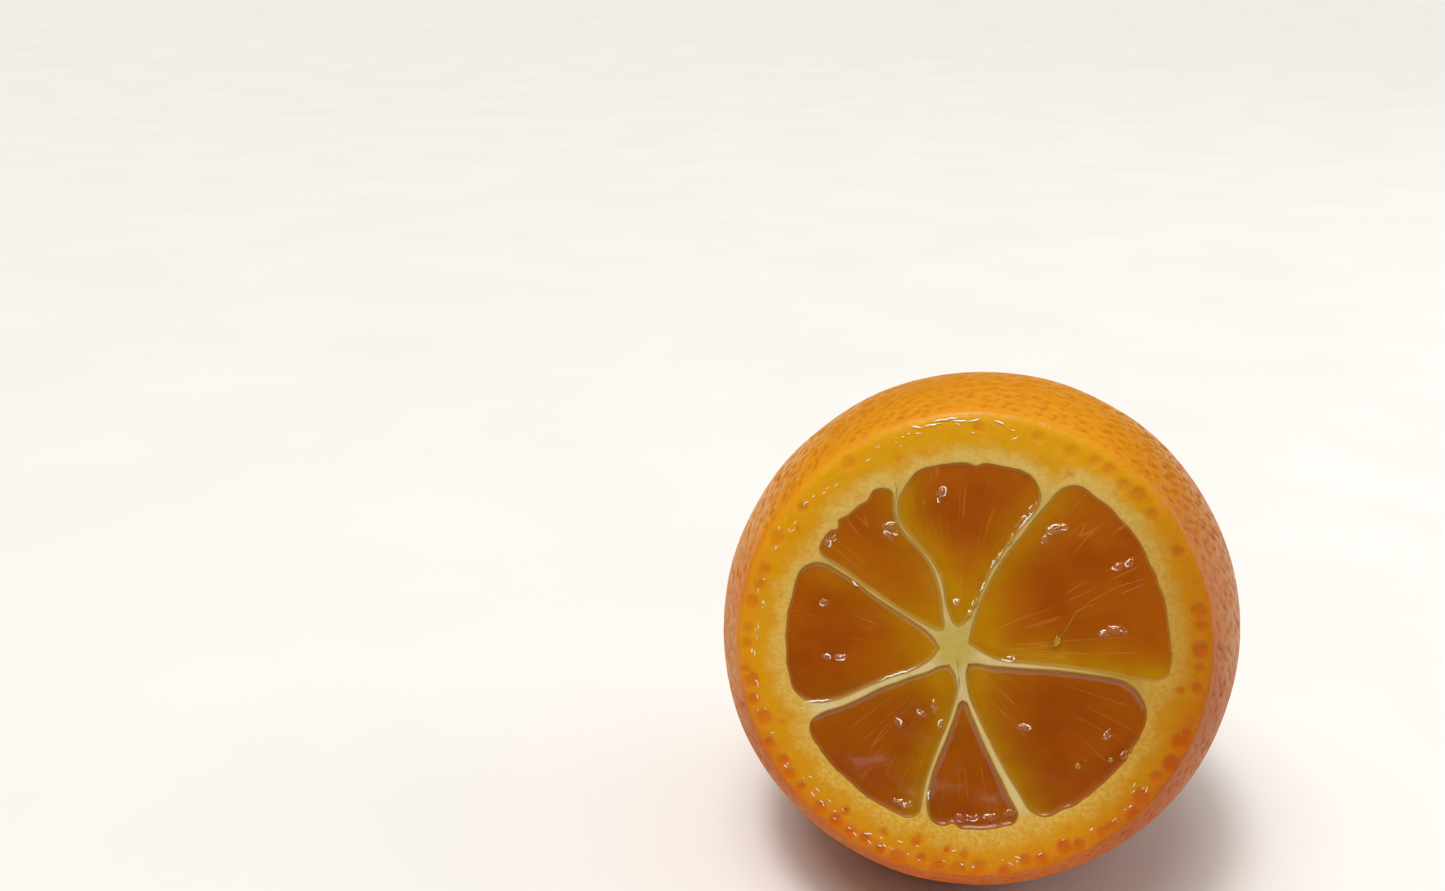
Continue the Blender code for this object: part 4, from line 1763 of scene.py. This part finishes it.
    def pulp(self) -> bpy.types.Material:
        """Amber juice sacs under a wet film, brighter where a pale wall shows through, with painted shade
        toward the bottom.

        Returns:
            The material.
        """
        material, patch, shader = self.start("pulp")
        where = patch.attribute(COORDINATES, "Vector")
        deep = self.cloud(patch, where, 0.32, 2.0, 0.35, 0.65)
        amber = patch.mix(deep, srgb(160, 74, 0), srgb(172, 88, 0))
        glow = patch.attribute("glow")
        uneven = self.cloud(patch, where, 0.7, 2.0, 0.2, 0.8)
        glow = patch.math("MULTIPLY", glow, patch.math("MULTIPLY_ADD", uneven, 0.4, 0.7), clamp=True)
        amber = patch.mix(glow, amber, srgb(190, 134, 0))
        lines = patch.group(self.sac_lines, Vector=where, Count=8.0, Width=0.02, Seed=1.7).outputs["Mask"]
        sparse = self.cloud(patch, where, 0.5, 1.0, 0.46, 0.6)
        lines = patch.math("MULTIPLY", lines, sparse)
        amber = patch.mix(patch.math("MULTIPLY", lines, 0.38), amber, srgb(208, 142, 34))
        amber = patch.mix(patch.step(patch.attribute("edge_mm"), 0.0, 0.25), srgb(186, 116, 8), amber)
        amber = patch.mix(patch.math("MULTIPLY", patch.attribute("film"), 0.75), amber, srgb(190, 150, 62))
        # Painted shade: the pulp is darker toward the bottom of the cut face.
        amber = patch.tint(patch.step(patch.axes(where)[1], 1.0, -4.0), amber, (0.86, 0.8, 0.5, 1.0))
        wet = patch.step(patch.attribute("edge_mm"), 0.05, 0.3)
        patch.dress(shader, {
            "Base Color": amber,
            "Roughness": patch.math("MULTIPLY_ADD", wet, -0.4, 0.54),
            "Coat Weight": patch.math("MULTIPLY", wet, 0.6),
            "Coat Roughness": 0.03,
            "IOR": 1.38,
            "Subsurface Weight": 0.55,
            "Subsurface Radius": (1.0, 0.42, 0.06),
            "Subsurface Scale": 1.6 * MM,
        })
        height = patch.math("MULTIPLY_ADD", lines, 0.4, patch.noise(where, 0.9, 2.0))
        self.bump(patch, shader, height, 0.3, 0.1 * MM)
        return material

    def painted_glint(self) -> bpy.types.Material:
        """Painted highlight: near-white glossy finish of the glint tubes.

        Returns:
            The material.
        """
        material, patch, shader = self.start("painted_glint")
        patch.dress(shader, {
            "Base Color": srgb(255, 250, 238),
            "Roughness": 0.12,
            "Coat Weight": 1.0,
            "Coat Roughness": 0.05,
            "IOR": 1.6,
        })
        return material

    def calyx(self) -> bpy.types.Material:
        """Dry green-brown scar tissue.

        Returns:
            The material.
        """
        material, patch, shader = self.start("calyx")
        where = patch.attribute(COORDINATES, "Vector")
        tone = self.cloud(patch, where, 1.6, 4.0, 0.35, 0.65)
        patch.feed(shader.inputs["Base Color"], patch.mix(tone, srgb(122, 112, 56), srgb(164, 140, 84)))
        shader.inputs["Roughness"].default_value = 0.7
        self.bump(patch, shader, tone, 0.5, 0.1 * MM)
        return material

    def floor(self) -> bpy.types.Material:
        """Pale matte table.

        Returns:
            The material.
        """
        material, patch, shader = self.start("pale_floor")
        where = patch.add("ShaderNodeTexCoord").outputs["Object"]
        tone = self.cloud(patch, where, 40.0, 2.0, 0.3, 0.7)
        patch.feed(shader.inputs["Base Color"], patch.mix(tone, srgb(240, 242, 245), srgb(243, 245, 248)))
        shader.inputs["Roughness"].default_value = 0.6
        return material


@dataclass
class Calyx:
    """Scar of the stem at the hidden end: a low five-pointed button."""

    points: int = 5
    radius: float = 1.7 * MM
    height: float = 1.0 * MM
    proud: float = 0.35 * MM
    notch: float = 0.62
    crown: float = 0.7

    def build(self, place: Matrix) -> bpy.types.Object:
        """Model the button.

        Args:
            place: the fruit's place in the frame.

        Returns:
            The finished piece.
        """
        bm = bmesh.new()
        bmesh.ops.create_cone(
            bm,
            cap_ends=True,
            segments=2 * self.points,
            radius1=self.radius * self.crown,
            radius2=self.radius,
            depth=self.height,
        )
        for vert in bm.verts:
            if round(math.atan2(vert.co.y, vert.co.x) * self.points / math.pi) % 2:
                vert.co.x *= self.notch
                vert.co.y *= self.notch
        under = [face for face in bm.faces if face.normal.z < -0.9]
        bmesh.ops.inset_region(bm, faces=under, thickness=0.35 * MM, depth=-0.12 * MM)
        bmesh.ops.bevel(
            bm, geom=bm.edges[:], offset=0.12 * MM, affect="EDGES", segments=2, profile=0.5, material=-1
        )
        bmesh.ops.triangulate(bm, faces=bm.faces[:])
        bmesh.ops.subdivide_edges(bm, edges=bm.edges[:], cuts=2, use_grid_fill=True)
        bmesh.ops.smooth_vert(
            bm, verts=bm.verts[:], factor=0.5, use_axis_x=True, use_axis_y=True, use_axis_z=True
        )
        floor = -FORM.half_length + FORM.scar_depth
        bmesh.ops.translate(bm, verts=bm.verts[:], vec=(0, 0, floor - self.proud + self.height / 2))
        coordinates = bm.verts.layers.float_vector.new(COORDINATES)
        for vert in bm.verts:
            vert[coordinates] = vert.co / MM
            vert.co += vert.co.normalized() * noise.noise(vert.co / (0.6 * MM)) * 0.06 * MM
        return finish_piece("calyx_scar", bm, place, Slot.PEEL)


@dataclass
class Studio:
    """Pale floor, soft light and the photograph's camera."""

    focal_px: float = 1500.0
    frame_px: float = 1445.0
    camera_from_cut: Vector = Vector((2.896, -78.815, 38.964))
    camera_heading: float = math.radians(-12.395)
    camera_pitch: float = math.radians(19.071)
    floor_size: float = 6.0

    def build(self, place: Matrix, finishes: Finishes) -> None:
        """Set the stage round the fruit.

        Args:
            place: the fruit's place in the frame.
            finishes: the scene's materials.
        """
        self.add_floor(finishes)
        self.add_camera(place)
        self.add_lights()
        self.add_world()
        bpy.context.scene.view_settings.view_transform = "Standard"

    def add_floor(self, finishes: Finishes) -> None:
        """Flat floor under the fruit.

        Args:
            finishes: the scene's materials.
        """
        bm = bmesh.new()
        bmesh.ops.create_grid(bm, x_segments=8, y_segments=8, size=self.floor_size / 2)
        mesh = bpy.data.meshes.new("floor")
        bm.to_mesh(mesh)
        bm.free()
        mesh.materials.append(finishes.floor())
        floor = bpy.data.objects.new("floor", mesh)
        bpy.context.scene.collection.objects.link(floor)

    def add_camera(self, place: Matrix) -> None:
        """Camera where the photograph was taken from, level and pitched down.

        Args:
            place: the fruit's place in the frame.
        """
        camera = bpy.data.cameras.new("camera")
        camera.sensor_fit = "HORIZONTAL"
        camera.lens = camera.sensor_width * self.focal_px / self.frame_px
        camera.clip_start = 0.005
        camera.clip_end = 20
        holder = bpy.data.objects.new("camera", camera)
        bpy.context.scene.collection.objects.link(holder)
        cut_middle = place @ Vector((0, 0, FORM.cut_ahead))
        holder.location = cut_middle + self.camera_from_cut * MM
        holder.rotation_euler = (math.pi / 2 - self.camera_pitch, 0, -self.camera_heading)
        bpy.context.scene.camera = holder

    def add_light(self, name: str, place: tuple, size: float, power: float, colour: tuple) -> None:
        """Square soft light that faces the fruit.

        Args:
            name: the light's name.
            place: where it stands.
            size: its width.
            power: its power in watts.
            colour: its colour.
        """
        lamp = bpy.data.lights.new(name, "AREA")
        lamp.size = size
        lamp.energy = power
        lamp.color = colour
        holder = bpy.data.objects.new(name, lamp)
        bpy.context.scene.collection.objects.link(holder)
        holder.location = place
        aim = Vector((0, 0, 0.016)) - Vector(place)
        holder.rotation_euler = aim.to_track_quat("-Z", "Y").to_euler()

    def add_lights(self) -> None:
        """Even light from high in front on the left, a small one for glints, and a sheen on the right."""
        for name, power, width in (("broad_panel", 1.5, 34), ("bright_panel", 0.95, 11)):
            lamp = bpy.data.lights.new(name, "SUN")
            lamp.energy = power
            lamp.angle = math.radians(width)
            lamp.color = (1.0, 0.965, 0.9)
            holder = bpy.data.objects.new(name, lamp)
            bpy.context.scene.collection.objects.link(holder)
            holder.rotation_euler = Vector((0.14, 0.30, -0.94)).to_track_quat("-Z", "Y").to_euler()
        self.add_light("right_sheen", (0.40, 0.12, 0.14), 0.26, 0.45, (0.97, 0.98, 1.0))

    def add_world(self) -> None:
        """Even pale surroundings."""
        world = bpy.data.worlds.new("surroundings")
        world.use_nodes = True
        background = world.node_tree.nodes["Background"]
        background.inputs["Color"].default_value = (1.0, 0.92, 0.8, 1.0)
        patch = NodePatch(world.node_tree)
        height = patch.axes(patch.add("ShaderNodeTexCoord").outputs["Generated"])[2]
        patch.feed(background.inputs["Strength"], patch.step(height, 0.1, 1.0, 0.05, 0.55))
        bpy.context.scene.world = world


def main() -> None:
    """Build every piece and dress it."""
    logging.basicConfig(level=logging.INFO, format="%(message)s")
    place = FORM.placing()
    finishes = Finishes()
    Studio().build(place, finishes)
    rind = Rind().build(place)
    rind.data.materials.append(finishes.rind())
    pulp = finishes.pulp()
    for plan in SEGMENTS:
        piece = Pulp(plan).build(place)
        piece.data.materials.append(pulp)
    juice = Juice().build(place)
    juice.data.materials.append(pulp)
    # Painted highlights: near-white tubes laid on the wet cut and the zest.
    glints = Glints().build(place)
    glints.data.materials.append(finishes.painted_glint())
    calyx = Calyx().build(place)
    calyx.data.materials.append(finishes.calyx())


if __name__ == "__main__":
    main()
